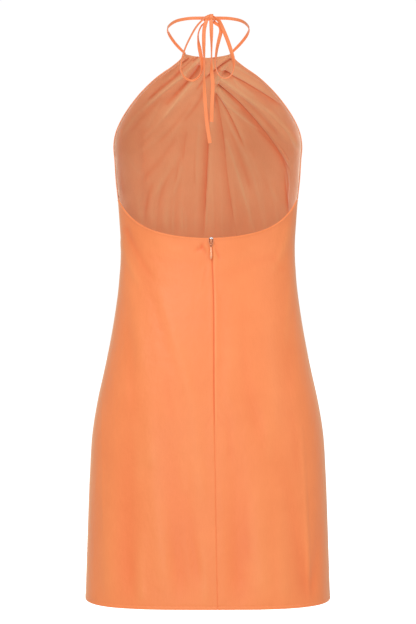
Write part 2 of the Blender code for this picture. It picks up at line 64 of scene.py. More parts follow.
Section = namedtuple("Section", "z half_width front back squareness")
SECTIONS = [Section(*row) for row in (
    (-277, 144.2, 104, 84, 2.2),
    (-315, 141.3, 97, 80, 2.2),
    (-353, 139.1, 93, 79, 2.3),
    (-409, 141.4, 95, 87, 2.4),
    (-457, 147.2, 98, 98, 2.5),
    (-505, 155.1, 101, 109, 2.6),
    (-553, 164.6, 103, 118, 2.7),
    (-601, 175.1, 106, 125, 2.8),
    (-649, 182.9, 109, 127, 2.9),
    (-713, 187.0, 112, 128, 3.0),
    (-793, 190.0, 116, 129, 3.1),
    (-910, 193.8, 121, 130, 3.22),
)]
Bodice = namedtuple("Bodice", "z half_width side_y front squareness")
BODICE = [Bodice(*row) for row in (
    (-36, 38.5, 61, 70, 1.4),
    (-46, 46.0, 63, 74, 1.5),
    (-56, 58.5, 65, 80, 1.7),
    (-70, 79.0, 66, 89, 1.9),
    (-95, 105.8, 62, 103, 2.1),
    (-121, 126.2, 55, 115, 2.3),
    (-147, 141.2, 43, 122, 2.4),
    (-173, 150.3, 30, 126, 2.4),
    (-192, 152.3, 22, 126, 2.4),
    (-215, 150.2, 14, 121, 2.4),
    (-248, 147.6, 5, 111, 2.3),
    (-277, 144.2, 0, 104, 2.2),
)]
SCOOP_RISE = 66 * MM
SCOOP_Z = -345 * MM
SeamPoint = namedtuple("SeamPoint", "z x")
CENTRE_BACK = [SeamPoint(*row) for row in (
    (-345, -5.0), (-410, -8.0), (-600, -9.5), (-720, -11.5), (-820, -13.0), (-910, -15.0),
)]

# A fold is a soft ridge or trough on a curve through three points of a panel, seen from the back.
# rise is how far it stands towards the inside at its first and last point, reach how far it spreads,
# and step how much higher its left side stands than its right side, as where a pleat overlaps.
Fold = namedtuple("Fold", "x0 z0 x1 z1 x2 z2 rise_start rise_end reach step", defaults=(0,))


def folds(*table):
    return [Fold(*row) for row in table]


FRONT_FOLDS = folds(
    # Pleats that fan out of the slanting seam.
    (-37, -42, -12, -57, 2, -69, -1.8, -1.0, 5),
    (-27, -61, -68, -78, -125, -119, -2.2, -1.5, 5),
    (-18, -81, -68, -131, -134, -214, -1.8, -2.5, 7),
    (-13, -97, -38, -142, -63, -187, -1.6, -1.5, 7),
    (-16, -107, -31, -202, -48, -327, -1.6, -1.6, 8),
    (-121, -201, -126, -252, -132, -297, -1.5, -2.5, 7),
    (-19, -73, -78, -110, -146, -194, 4.0, 3.0, 7),
    (-43, -66, -92, -98, -138, -150, 3.5, 2.0, 6),
    (-18, -94, -46, -122, -92, -168, 3.5, 1.5, 6),
    (-24, -112, -52, -170, -92, -240, 3.0, 1.5, 9),
    (-31, -176, -46, -224, -72, -307, 2.0, 2.0, 8),
    # The middle, and the gathers of the wearer's left side.
    (-3, -160, 2, -220, 5, -329, -2.0, -2.0, 6),
    (12, -57, 41, -87, 97, -125, -5.0, -1.0, 7),
    (40, -44, 79, -82, 137, -156, -3.0, -2.0, 5),
    (57, -70, 97, -102, 144, -176, 2.5, 1.5, 6),
    (23, -79, 45, -102, 89, -146, 3.5, 1.5, 7),
    (36, -167, 41, -204, 57, -307, -1.2, -1.0, 8),
    (19, -150, 20, -200, 21, -250, 1.5, 1.0, 8),
    (108, -160, 104, -220, 96, -300, -1.5, -1.5, 9),
    # Soft flutes of the skirt.
    (92, -430, 106, -600, 118, -900, -1.0, -4.5, 20),
    (38, -470, 46, -650, 52, -900, 0.8, 3.5, 18),
    (-8, -520, -12, -680, -14, -900, -0.6, -3.5, 17),
    (-58, -440, -66, -620, -78, -900, 0.8, 4.0, 19),
    (-112, -460, -124, -640, -132, -900, -0.8, -4.0, 18),
)
# Finer creases of the front, over the folds that the solid has.
FRONT_CREASES = folds(
    # Where the pleats lie on each other, beside the slanting seam.
    (-26, -61, -74, -85, -124, -120, -2.4, -1.2, 1.5, 2.3),
    (-17, -81, -55, -112, -93, -154, -2.3, -0.9, 1.4, 1.8),
    (-90, -150, -114, -185, -137, -230, -0.5, -1.5, 1.5, 1.2),
    (-14, -95, -35, -125, -63, -186, -2.3, -0.9, 1.4, 1.6),
    (-16, -106, -24, -149, -30, -196, -0.5, -1.4, 1.3, 0.8),
    (-30, -196, -35, -251, -46, -322, -0.5, -0.9, 1.3, 0.7),
    (-38, -43, -18, -55, 5, -72, -3.5, -2.8, 1.7, -2),
    (5, -72, 12, -81, 20, -90, -1.7, -0.7, 2.4),
    # Ridges of the pleats between them.
    (-42, -54, -65, -64, -92, -81, 1.4, 0.9, 2.4),
    (-44, -74, -59, -87, -81, -103, 1.4, 0.6, 2.2),
    (-23, -73, -54, -94, -91, -120, 1.7, 1.7, 2.6),
    (-91, -120, -125, -147, -151, -200, 0.5, 1.3, 2.6),
    (-74, -104, -98, -122, -138, -166, 0.3, 0.9, 1.5),
    (-18, -87, -34, -103, -56, -122, 1.9, 0.9, 2.2),
    (-19, -98, -48, -125, -85, -155, 1.2, 1.1, 1.5),
    (-19, -104, -33, -136, -55, -182, 0.6, 1.2, 2.6),
    (-31, -170, -48, -222, -74, -314, 0.5, 1.4, 1.8),
    (-55, -182, -76, -233, -90, -301, 0.3, 0.7, 3),
    (-81, -205, -101, -249, -119, -284, 0.2, 0.5, 3.2),
    # Troughs between them.
    (-41, -162, -58, -213, -71, -257, -0.4, -0.6, 4.5),
    (-60, -104, -88, -131, -124, -170, -0.4, -0.8, 4.5),
    (-85, -157, -125, -213, -129, -273, -0.4, -1.4, 1.5),
    (-127, -229, -127, -260, -131, -296, -0.4, -2.3, 2),
    (-114, -177, -126, -193, -136, -215, -0.4, -0.9, 1.3),
    (-66, -176, -88, -222, -104, -262, -0.2, -0.5, 4),
    # The lip of the slanting seam.
    (-36, -48, -25, -58, -18, -69, 1.5, 1.3, 2.2),
    (-18, -69, -14, -82, -13, -98, 1.4, 0.9, 2.0),
    # The middle.
    (-3, -128, 0, -200, 6, -314, -0.7, -2.6, 1.3, 1.6),
    (1, -255, 1, -285, 4, -326, 0.3, 1.1, 1.5),
    (-7, -232, -8, -280, -8, -328, 0.2, 0.7, 1.6),
    (18, -150, 21, -200, 22, -250, -0.3, -0.7, 1.6, 0.5),
    # Gathers of the wearer's left side.
    (15, -55, 30, -74, 54, -99, -3, -1.2, 3.2),
    (52, -97, 61, -106, 70, -115, -1.1, -0.5, 3),
    (27, -78, 49, -103, 79, -140, 1.7, 1, 2.4),
    (79, -140, 91, -154, 110, -173, 0.3, 0.4, 2.6),
    (45, -62, 74, -86, 101, -110, -2.1, -1.2, 3),
    (38, -66, 75, -93, 107, -122, 1.9, 1.3, 2.3),
    (107, -122, 125, -140, 143, -169, 0.4, 0.7, 2.2),
    (14, -44, 27, -55, 42, -68, 1.6, 1.2, 1.8),
    (32, -43, 37, -47, 44, -52, -2.8, -1.6, 1.6),
    (16, -40, 20, -43, 26, -48, -2.8, -1.2, 1.6),
    (24, -42, 34, -51, 46, -61, -1.2, -1.1, 1.3),
    (8, -41, 5, -46, 2, -52, -2.1, -0.5, 1.5),
    (-10, -41, -13, -45, -17, -50, -1.9, -0.5, 1.5),
    (79, -111, 91, -131, 103, -153, 0.3, 0.4, 3.4),
    (80, -106, 106, -133, 132, -164, -0.3, -0.5, 4),
    (16, -104, 38, -134, 70, -175, 0.3, 0.4, 3.6),
    (6, -90, 19, -113, 47, -146, -1.1, -0.6, 3.6),
    (30, -112, 52, -142, 88, -182, -0.2, -0.4, 3),
    (60, -140, 84, -168, 116, -196, 0.2, 0.4, 3.6),
    (35, -158, 39, -182, 42, -206, -0.3, -0.7, 1.4, 0.3),
    (47, -204, 51, -225, 54, -245, -0.3, -0.7, 1.4, 0.3),
    (43, -216, 49, -236, 59, -268, 0.3, 0.7, 2.2),
    (56, -172, 79, -205, 107, -241, -0.3, -0.6, 4.2),
    (49, -194, 69, -229, 90, -269, 0.3, 0.7, 4),
    (59, -222, 74, -252, 82, -291, -0.3, -0.7, 3.6),
    (92, -249, 99, -275, 104, -300, -0.3, -0.8, 3),
    (56, -270, 58, -299, 58, -328, 0.3, 1.1, 1.4),
    (42, -284, 43, -307, 42, -328, 0.3, 1.1, 1.4),
    (38, -292, 37, -310, 37, -328, 0.2, 0.9, 1.4),
    (112, -260, 113, -284, 109, -306, 0.2, 0.7, 4),
    (90, -270, 92, -291, 91, -313, 0.2, 0.8, 4.4),
    (69, -278, 70, -299, 69, -319, 0.2, 0.8, 4.4),
    (133, -204, 123, -220, 109, -234, 0.2, 0.3, 2),
    (145, -176, 145, -228, 137, -272, -0.2, -0.8, 4),
)
# Soft folds of the back, which hang from the waist and spread towards the hem.
BACK_FOLDS = folds(
    (131, -404, 117, -455, 96, -562, -0.6, -1.6, 11),
    (102, -390, 82, -452, 54, -556, 0.4, 1, 11),
    (74, -432, 52, -500, 20, -612, -0.5, -1.2, 9),
    (122, -440, 120, -520, 112, -620, 0.4, 1, 9),
    (92, -560, 90, -640, 84, -700, -0.2, -1.8, 12),
    (85, -668, 81, -740, 61, -900, -0.3, -1.9, 13),
    (60, -640, 50, -760, 40, -900, 0.2, 2.6, 14),
    (42, -686, 29, -772, 12, -880, 0.4, 2, 10),
    (26, -560, 20, -640, 8, -760, -0.2, -1.6, 12),
    (116, -600, 122, -740, 118, -905, 0.3, 3.4, 15),
    (152, -530, 170, -620, 168, -770, -0.3, -0.8, 7),
    (150, -700, 156, -790, 150, -905, -0.2, -2.6, 12),
    (-21, -440, -19, -500, -16, -560, 0.4, 0.6, 9),
    (-48, -490, -38, -540, -30, -620, -0.5, -0.8, 10),
    (-56, -440, -58, -550, -84, -660, 0.4, 1.4, 10),
    (-93, -480, -99, -560, -104, -660, -0.6, -1.4, 12),
    (-120, -420, -124, -500, -126, -600, 0.4, 1, 11),
    (-40, -660, -44, -770, -46, -905, 0.2, 3, 15),
    (-76, -680, -80, -780, -84, -905, -0.2, -2.8, 15),
    (-109, -740, -112, -820, -118, -905, -0.4, -2.2, 10),
    (-116, -700, -136, -800, -152, -905, 0.4, 2.8, 11),
    (-144, -640, -150, -760, -157, -905, -0.4, -1.8, 3.6),
    (165, -590, 163, -688, 160, -800, -0.3, -0.6, 3),
    (-13, -396, -15, -500, -17, -632, -0.2, -0.5, 2.6),
    (-172, -780, -168, -830, -158, -905, 0.3, 2.4, 9),
)
BACK_CREASES = folds(
    # Puckers beside the zip's pull, and below it.
    (9, -359, 6, -364, 1, -371, 1.8, 0.6, 2.0),
    (16, -362, 12, -362, 9, -360, 0.8, 1.0, 2.2),
    (-9, -353, -13, -357, -18, -360, 0.9, 0.3, 1.5),
    (4, -356, 0, -363, -1, -374, -0.7, -0.4, 1.6),
    (-12, -361, -15, -369, -19, -378, 0.6, 1.2, 1.7),
    (-9, -362, -11, -371, -15, -381, -0.6, -0.5, 1.5),
    (-10, -372, -12, -382, -15, -392, -0.9, -0.3, 2.4),
    (-7, -387, -12, -391, -18, -391, 0.4, 0.2, 1.8),
    (7, -354, 14, -362, 22, -366, 0.7, 0.3, 3),
    (2, -392, 5, -404, 7, -420, 0.2, 0.2, 3),
    (-9, -404, -13, -416, -16, -432, 0.2, 0.2, 3),
    # Where the zip ends.
    (-12, -612, -18, -622, -24, -634, 0.3, 0.2, 3.6),
    (-6, -616, -1, -628, 4, -640, 0.3, 0.2, 3.6),
    (-8, -618, -7, -640, -9, -668, -0.2, -0.2, 3.4),
    # Strain lines between the scoop, the zip and the side seams.
    (-21, -392, -48, -376, -76, -357, -0.2, -0.3, 6),
    (-26, -402, -60, -390, -100, -372, 0.1, 0.3, 6),
    (-104, -376, -112, -388, -122, -398, 0.4, 0.3, 6),
    (18, -372, 52, -362, 92, -342, -0.3, -0.3, 7),
    (20, -386, 60, -384, 104, -366, 0.1, 0.3, 7),
    (136, -350, 124, -384, 104, -424, -1, -0.5, 5),
    (128, -330, 108, -372, 84, -412, 0.9, 0.4, 5),
    (-128, -330, -118, -364, -96, -402, -0.9, -0.4, 5),
    (-136, -392, -126, -452, -120, -520, -0.4, -0.5, 5),
    # Small unevenness of the hanging satin.
    (64, -560, 60, -590, 52, -630, 0.2, 0.3, 6),
    (110, -640, 104, -680, 104, -720, -0.2, -0.4, 6),
    (36, -660, 38, -700, 34, -740, -0.2, -0.4, 6),
    (-30, -600, -32, -640, -36, -690, 0.2, 0.4, 6),
    (-86, -600, -92, -640, -94, -690, -0.2, -0.4, 6),
    (-128, -620, -134, -660, -134, -710, 0.2, 0.4, 6),
    (-60, -740, -58, -790, -62, -840, 0.2, 0.5, 6),
    (10, -800, 6, -850, 4, -905, -0.2, -0.9, 7),
    (100, -800, 102, -850, 100, -905, -0.2, -0.9, 7),
)
FOLD_SAMPLES = 40
FOLD_END, FOLD_END_SLOPE = 1.02, 6  # a fold dies away over about the last sixth of its way
TAIL_FROM = 0.72  # the share of its way after which a pleat with a tail starts to die away
TAIL_START = 0.34  # the share of a pleat's height that is left where its tail starts
PLEAT_TAIL = 85 * MM
PLEAT_TAIL_HIGH, PLEAT_TAIL_LOW = -283, -400  # the heights, in mm, between which such pleats end
STEP_EDGE = 1.1 * MM  # half the width of the drop at the edge of an overlap
STEP_SPREAD = 8 * MM  # how far an overlap dies away to each side
EDGE_FADE = 9 * MM
CREASE_FADE = 4 * MM
PUCKER_FADE = 1.5 * MM

# Fine ripples of the lower bodice, which spread downwards from the gathers.
RIPPLE_FIRST_X = -118
RIPPLE_COUNT = 21
RIPPLE_SPACING = 11.6
RIPPLE_DEPTH = 0.5
RIPPLE_REACH = 2.6

SEAM_LINE = [(-37, -42), (-27, -60), (-16, -77), (-12, -92), (-12, -106)]
SEAM_STEP = 2.0 * MM
SEAM_STEP_REACH = 12 * MM
SEAM_STEP_SLOPE = 1.9 * MM

# A turned hem: the stitch line lies this far from the edge. The hem rises at the side seams.
HEM_TURN = 5.0 * MM
HEM_SWELL = 0.30 * MM
HEM_SWELL_END = 0.35 * MM
HEM_GROOVE = 0.35 * MM
HEM_GROOVE_REACH = 0.7 * MM
HEM_CORNER = 7.0 * MM
HEM_CORNER_REACH = 19 * MM
HEM_CORNER_HEIGHT = 40 * MM
BACK_HEM_SAG = 1.2 * MM
BACK_SAG_FADE = 90 * MM
EDGE_STEPS = [0, 0.6, 1.2, 1.9, 2.7, 3.5, 4.2, 4.9, 5.6, 6.6]

# The heights of fine creases and of broad folds that count as one unit of relief, from which the satin
# paints shade into creases and a highlight onto ridges.
FINE_RELIEF = 1.7 * MM
BROAD_RELIEF = 9.0 * MM
BACK_FINE_RELIEF = 3.0 * MM
BACK_RELIEF = 9.0 * MM

# The centre back seam: the cloth dips into it, more so over the zip, which also lifts its two lips.
ZIP_BOTTOM_Z = -626 * MM
ZIP_END_SOFTNESS = 6 * MM
SEAM_DIP, ZIP_DIP = 0.20 * MM, 0.26 * MM
SEAM_DIP_REACH = 0.8 * MM
# Painted shade along the seam line, deeper over the zip, over this reach.
SEAM_SHADE, ZIP_SHADE = 0.25, 0.62
SEAM_SHADE_REACH = 1.1 * MM
ZIP_SWELL = 0.18 * MM
ZIP_SWELL_OFF, ZIP_SWELL_REACH = 4 * MM, 2.5 * MM
# A painted highlight on the right panel's lip beside the zip, this far from the seam.
LIP_LIGHT = 0.45
LIP_OFF, LIP_REACH = 2.6 * MM, 1.2 * MM
# The top edge of the back rolls over a narrow cord of its own turned cloth.
SCOOP_ROLL = 1.5 * MM
SCOOP_ROLL_REACH = 1.0 * MM
SCOOP_BEAD = 0.5 * MM
SCOOP_BEAD_DOWN = 2.0 * MM
SCOOP_BEAD_REACH = 1.4 * MM

FRONT_COLUMNS = 226
PLEATED_SHARE = 0.60  # of the columns lie on the wearer's right, where the pleats are
FrontRow = namedtuple("FrontRow", "middle_z edge_z rows_to_next")
FRONT_ROWS = [FrontRow(*row) for row in (
    (-41, -36, 22), (-54, -82, 36), (-86, -172, 38), (-168, -252, 40), (-353, -353, 36), (-903, -903, 1),
)]
ROW_BEND = 1.4
BACK_COLUMNS = 140
BACK_ROWS = 176
ARC_SAMPLES = 400
LEVEL_STEP = 1.0 * MM

# Turned cloth inside, and the strips behind the seams.
ALLOWANCE_DEPTH = CLOTH + 0.15 * MM
ALLOWANCE_THICKNESS = 0.5 * MM
SEAM_TUCK_DEPTH = 0.20 * MM
SEAM_TUCK_THICKNESS = 0.3 * MM

STITCH_PITCH = 2.8 * MM
STITCH_LENGTH = 2.1 * MM
STITCH_START = 1.5 * MM
STITCH_RADIUS = 0.19 * MM
STITCH_SIDES = 5


# --- Materials ---
# Painted shade for creases that sink and painted highlight for ridges, multiplied into the satin's colour
# through the relief map.
PAINTED_CREASE_SHADE = (0.93, 0.50, 0.38)
PAINTED_RIDGE_HIGHLIGHT = (1.0, 1.32, 1.42)
WHITE = (1.0, 1.0, 1.0)


class Nodes:
    """Short calls for building a material's nodes."""

    def __init__(self, name):
        self.material = bpy.data.materials.new(name)
        self.material.use_nodes = True
        self.tree = self.material.node_tree
        self.shader = self.tree.nodes["Principled BSDF"]

    def add(self, kind, inputs=(), **settings):
        node = self.tree.nodes.new(kind)
        for key, value in settings.items():
            setattr(node, key, value)
        for key, value in dict(inputs).items():
            if isinstance(value, bpy.types.NodeSocket):
                self.tree.links.new(value, node.inputs[key])
            else:
                node.inputs[key].default_value = value
        return node

    def link(self, output, socket):
        self.tree.links.new(output, self.shader.inputs[socket])

    def set(self, **values):
        for key, value in values.items():
            self.shader.inputs[key.replace("_", " ")].default_value = value

    def cloth_coordinates(self, scale=WHITE):
        """The cloth's own coordinates, in metres along weft and warp, stretched by scale."""
        place = self.add("ShaderNodeUVMap", uv_map="cloth").outputs["UV"]
        return self.add("ShaderNodeMapping", {"Vector": place, "Scale": scale}).outputs["Vector"]

    def object_coordinates(self):
        return self.add("ShaderNodeTexCoord").outputs["Object"]

    def noise(self, vector, scale, detail):
        inputs = {"Vector": vector, "Scale": scale, "Detail": detail, "Roughness": 0.5}
        return self.add("ShaderNodeTexNoise", inputs).outputs["Fac"]

    def bands(self, direction, **inputs):
        """Even threads or ribs across the cloth."""
        inputs["Vector"] = self.cloth_coordinates()
        settings = {"wave_type": "BANDS", "bands_direction": direction}
        return self.add("ShaderNodeTexWave", inputs, **settings).outputs["Fac"]

    def ramp(self, factor, *stops):
        node = self.add("ShaderNodeValToRGB", {"Fac": factor})
        elements = node.color_ramp.elements
        while len(elements) < len(stops):
            elements.new(0.5)
        for element, (place, colour) in zip(elements, stops):
            element.position = place
            element.color = (*colour, 1.0)
        return node.outputs["Color"]

    def maths(self, operation, *values):
        return self.add("ShaderNodeMath", dict(enumerate(values)), operation=operation).outputs[0]

    def bump(self, height, distance, strength, normal=None):
        inputs = {"Height": height, "Distance": distance, "Strength": strength}
        if normal is not None:
            inputs["Normal"] = normal
        return self.add("ShaderNodeBump", inputs).outputs["Normal"]


def make_satin(name, low, high, roughness, sheen, sheen_tint, specular, side=0, sheen_roughness=0.35):
    """Satin: long floats across a fine diagonal, faint slubs along the thread and a soft crumple.
    side is 1 on the cloth's inside and -1 on its outside: there the relief map paints light into the
    colour, as painted shade, deep and saturated, in creases that sink and as a painted highlight on
    ridges, which are paler."""
    n = Nodes(name)
    slub = n.noise(n.cloth_coordinates((1, 0.06, 1)), 900, 2.0)
    cloud = n.noise(n.cloth_coordinates(), 14, 4.0)
    blend = n.maths("MULTIPLY", n.maths("MULTIPLY_ADD", slub, 0.45, cloud), 0.69)
    colour = n.ramp(blend, (0.32, low), (0.68, high))
    # Painted shade in sunk creases and painted highlight on ridges, read from the relief map.
    if side:
        relief_place = n.add("ShaderNodeUVMap", uv_map="relief").outputs["UV"]
        height = n.add("ShaderNodeSeparateXYZ", {"Vector": relief_place}).outputs["X"]
        levels = {"Value": height, "From Min": -side, "From Max": side, "To Min": 0.0, "To Max": 1.0}
        shade = n.add("ShaderNodeMapRange", levels).outputs["Result"]
        tint = n.ramp(shade, (0.0, PAINTED_CREASE_SHADE), (0.5, WHITE), (1.0, PAINTED_RIDGE_HIGHLIGHT))
        mixed = {0: 1.0, 6: colour, 7: tint}
        colour = n.add("ShaderNodeMix", mixed, data_type="RGBA", blend_type="MULTIPLY").outputs[2]
    n.link(colour, "Base Color")
    warp = n.bands("DIAGONAL", Scale=500, Distortion=0.6, Detail=1.0)
    crumple = n.noise(n.cloth_coordinates((1, 0.7, 1)), 70, 3.0)
    relief = n.bump(warp, 0.00002, 0.5)
    relief = n.bump(slub, 0.00004, 0.6, relief)
    relief = n.bump(crumple, 0.0012, 0.7, relief)
    n.link(relief, "Normal")
    n.link(n.maths("MULTIPLY_ADD", cloud, 0.16, roughness - 0.08), "Roughness")
    n.set(Sheen_Weight=sheen, Sheen_Roughness=sheen_roughness, Sheen_Tint=(*sheen_tint, 1.0))
    n.set(Specular_IOR_Level=specular)
    return n.material


def make_metal(name, colour, roughness, metallic, coat=0.0, specular=0.5):
    """Small hard pieces: cast or enamelled metal with faint unevenness and rubbed patches, or a dark sheet
    of painted shade.
    """
    n = Nodes(name)
    cloud = n.noise(n.object_coordinates(), 300, 4.0)
    dark = tuple(0.82 * c for c in colour)
    n.link(n.ramp(cloud, (0.3, dark), (0.6, colour)), "Base Color")
    n.link(n.maths("MULTIPLY_ADD", cloud, 0.15, roughness - 0.05), "Roughness")
    n.link(n.bump(cloud, 0.00005, 0.3), "Normal")
    n.set(Metallic=metallic, Coat_Weight=coat, Coat_Roughness=0.16, Coat_IOR=1.7)
    n.set(Specular_IOR_Level=specular)
    return n.material


def make_tape_material():
    n = Nodes("zip_tape_weave")
    ribs = n.bands("Y", Scale=260, Distortion=0.3)
    n.link(n.ramp(ribs, (0.0, (0.62, 0.17, 0.06)), (1.0, (0.80, 0.25, 0.09))), "Base Color")
    n.link(n.bump(ribs, 0.0002, 0.6), "Normal")
    n.set(Roughness=0.75, Sheen_Weight=0.2)
    return n.material


def make_thread_material():
    n = Nodes("sewing_thread")
    grain = n.noise(n.object_coordinates(), 2500, 2.0)
    n.link(n.ramp(grain, (0.3, (0.78, 0.21, 0.07)), (0.7, (0.90, 0.30, 0.11))), "Base Color")
    n.link(n.bump(grain, 0.00005, 0.5), "Normal")
    n.set(Roughness=0.5, Sheen_Weight=0.3)
    return n.material


def make_floor_material():
    n = Nodes("floor_paint")
    cloud = n.noise(n.object_coordinates(), 1.5, 3.0)
    n.link(n.ramp(cloud, (0.2, (0.93, 0.93, 0.93)), (0.8, (0.96, 0.96, 0.96))), "Base Color")
    n.set(Roughness=0.9, Specular_IOR_Level=0.1)
    n.set(Emission_Color=(*WHITE, 1.0), Emission_Strength=0.65)
    return n.material


# --- Curves and grids of points ---
def bell(distance, reach):
    """1 in the middle, dying away to each side over a reach."""
    return np.exp(-((distance / reach) ** 2))


def fade(distance, reach):
    return 1 - bell(distance, reach)


def ease(t):
    """From 0 to 1 as t goes from 0 to 1, level at both ends."""
    return 0.5 - 0.5 * np.cos(math.pi * np.clip(t, 0, 1))


def soft_step(past, softness):
    """0 before a place and 1 past it."""
    return 0.5 + 0.5 * np.tanh(past / (2 * softness))


def lengths_along(points, axis=0):
    """How far along its line each point lies, for one line or for all of a grid's lines."""
    steps = np.linalg.norm(np.diff(points, axis=axis), axis=-1)
    return np.insert(np.cumsum(steps, axis=axis), 0, 0, axis=axis)


def read_at(places, run, values):
    """A line's points, or its directions, at places along its run."""
    return np.stack([np.interp(places, run, column) for column in values.T], axis=-1)


def wall_normals(points):
    """Unit normals of a grid of points, which point out of the dress."""
    normal = np.cross(np.gradient(points, axis=1), np.gradient(points, axis=0))
    return normal / np.linalg.norm(normal, axis=2, keepdims=True)


def line_at(points, distance):
    """The line at a distance from the first row of a grid of points, with the wall's normals on it."""
    along = lengths_along(points)
    columns = range(points.shape[1])
    return [
        np.array([read_at(distance, along[:, i], values[:, i]) for i in columns])
        for values in (points, wall_normals(points))
    ]


def side_distance(points):
    """Each point's distance along its row to the nearer side edge."""
    along = lengths_along(points, axis=1)
    return np.minimum(along, along[:, -1:] - along)


def nearest_on(line, x, z):
    """Each point's distance to a line, how many of the line's stretches lie before the nearest place on
    it, and the side of the line that the point is on."""
    best = np.full(x.shape, np.inf)
    along, side = np.zeros_like(x), np.zeros_like(x)
    for i, (start, run) in enumerate(zip(line[:-1], np.diff(line, axis=0))):
        share = (((x - start[0]) * run[0] + (z - start[1]) * run[1]) / (run @ run)).clip(0, 1)
        off_x, off_z = x - start[0] - share * run[0], z - start[1] - share * run[1]
        distance = np.hypot(off_x, off_z)
        closer = distance < best
        best = np.where(closer, distance, best)
        along = np.where(closer, i + share, along)
        side = np.where(closer, np.sign(run[1] * off_x - run[0] * off_z), side)
    return best, along, side


def smooth_route(route, step):
    """Points at even steps along a smooth curve through a route's own points."""
    knots = np.array(route, float) * MM
    knots = np.concatenate([[2 * knots[0] - knots[1]], knots, [2 * knots[-1] - knots[-2]]])
    fine = []
    for a, b, c, d in zip(knots[:-3], knots[1:-2], knots[2:-1], knots[3:]):
        for t in np.linspace(0, 1, 16, endpoint=False):
            bend = (2 * a - 5 * b + 4 * c - d) * t**2 + (3 * b - a - 3 * c + d) * t**3
            fine.append(0.5 * (2 * b + (c - a) * t + bend))
    fine = np.array(fine + [knots[-2]])
    run = lengths_along(fine)
    return read_at(np.linspace(0, run[-1], max(2, round(run[-1] / step)) + 1), run, fine)


# --- The dress's form ---
def values_at(rows, columns, z):
    """Columns of a table at height z, on smooth curves through the table's rows."""
    ordered = sorted(rows)
    heights = np.array([row.z for row in ordered]) * MM
    values = np.array([[getattr(row, name) for name in columns.split()] for row in ordered], float)
    slopes = np.gradient(values, heights, axis=0)
    z = min(max(z, heights[0]), heights[-1])
    i = min(int(np.searchsorted(heights, z, side="right")) - 1, len(heights) - 2)
    span = heights[i + 1] - heights[i]
    t = (z - heights[i]) / span
    return (
        (2 * t**3 - 3 * t**2 + 1) * values[i]
        + (t**3 - 2 * t**2 + t) * span * slopes[i]
        + (3 * t**2 - 2 * t**3) * values[i + 1]
        + (t**3 - t**2) * span * slopes[i + 1]
    )


def arc_points(half_width, side_y, depth, squareness, facing):
    """Half of a superellipse in plan, at even steps along its length from its +X end to its -X end."""
    angles = np.linspace(0, math.pi, ARC_SAMPLES)
    power = 2 / squareness
    x = half_width * np.sign(np.cos(angles)) * np.abs(np.cos(angles)) ** power
    y = side_y + facing * (SEAM_GAP / 2 + depth * np.sin(angles).clip(0) ** power)
    outline = np.stack([x, y], axis=-1)
    run = lengths_along(outline)
    return read_at(np.linspace(0, run[-1], ARC_SAMPLES), run, outline), run[-1]


def front_section(z):
    table, side_y = SECTIONS, 0.0
    if z >= UNDERARM_Z:
        table, side_y = BODICE, values_at(BODICE, "side_y", z)[0]
    half_width, front, squareness = values_at(table, "half_width front squareness", z)
    edge_y = SEAM_Y - side_y * MM
    return arc_points(half_width * MM, edge_y, (front - side_y) * MM, squareness, -1)


def back_section(z):
    half_width, back, squareness = values_at(SECTIONS, "half_width back squareness", z)
    return arc_points(half_width * MM, SEAM_Y, back * MM, squareness, 1)


class Surface:
    """The dress's plain form, as sections at close levels, read at any height and distance across."""

    def __init__(self, section, low, high):
        self.low = low
        self.levels = np.arange(low, high + LEVEL_STEP, LEVEL_STEP)
        found = [section(z) for z in self.levels]
        self.outlines = np.array([outline for outline, _ in found])
        self.lengths = np.array([length for _, length in found])

    def length(self, z):
        return np.interp(z, self.levels, self.lengths)

    def at(self, fraction, z):
        """Points at fractions of the way across, from +X to -X, and heights."""
        level = ((z - self.low) / LEVEL_STEP).clip(0, len(self.levels) - 1.001)
        column = (fraction * (ARC_SAMPLES - 1)).clip(0, ARC_SAMPLES - 1.001)
        i, j = level.astype(int), column.astype(int)
        u, v = (level - i)[..., None], (column - j)[..., None]
        low = self.outlines[i, j] * (1 - v) + self.outlines[i, j + 1] * v
        high = self.outlines[i + 1, j] * (1 - v) + self.outlines[i + 1, j + 1] * v
        return np.concatenate([low * (1 - u) + high * u, z[..., None]], axis=-1)

    def fraction_at(self, x, z):
        """How far across the surface x is, at height z."""
        low, high = np.zeros_like(z), np.ones_like(z)
        for _ in range(30):
            middle = (low + high) / 2
            past = self.at(middle, z)[..., 0] > x
            low, high = np.where(past, middle, low), np.where(past, high, middle)
        return (low + high) / 2


def scoop_z(x):
    out = np.abs(x) / (SECTIONS[0].half_width * MM)
    return SCOOP_Z + SCOOP_RISE * np.minimum(1.0, 0.48 * out**2 + 0.52 * out**6)


def pleat_tail(fold):
    """How far a pleat that reaches the waist runs on past its last point, unevenly."""
    if not PLEAT_TAIL_LOW < fold.z2 < PLEAT_TAIL_HIGH:
        return 0.0
    return PLEAT_TAIL * (0.62 + 0.38 * math.sin(1.7 * fold.x2 + 0.3 * fold.z2))


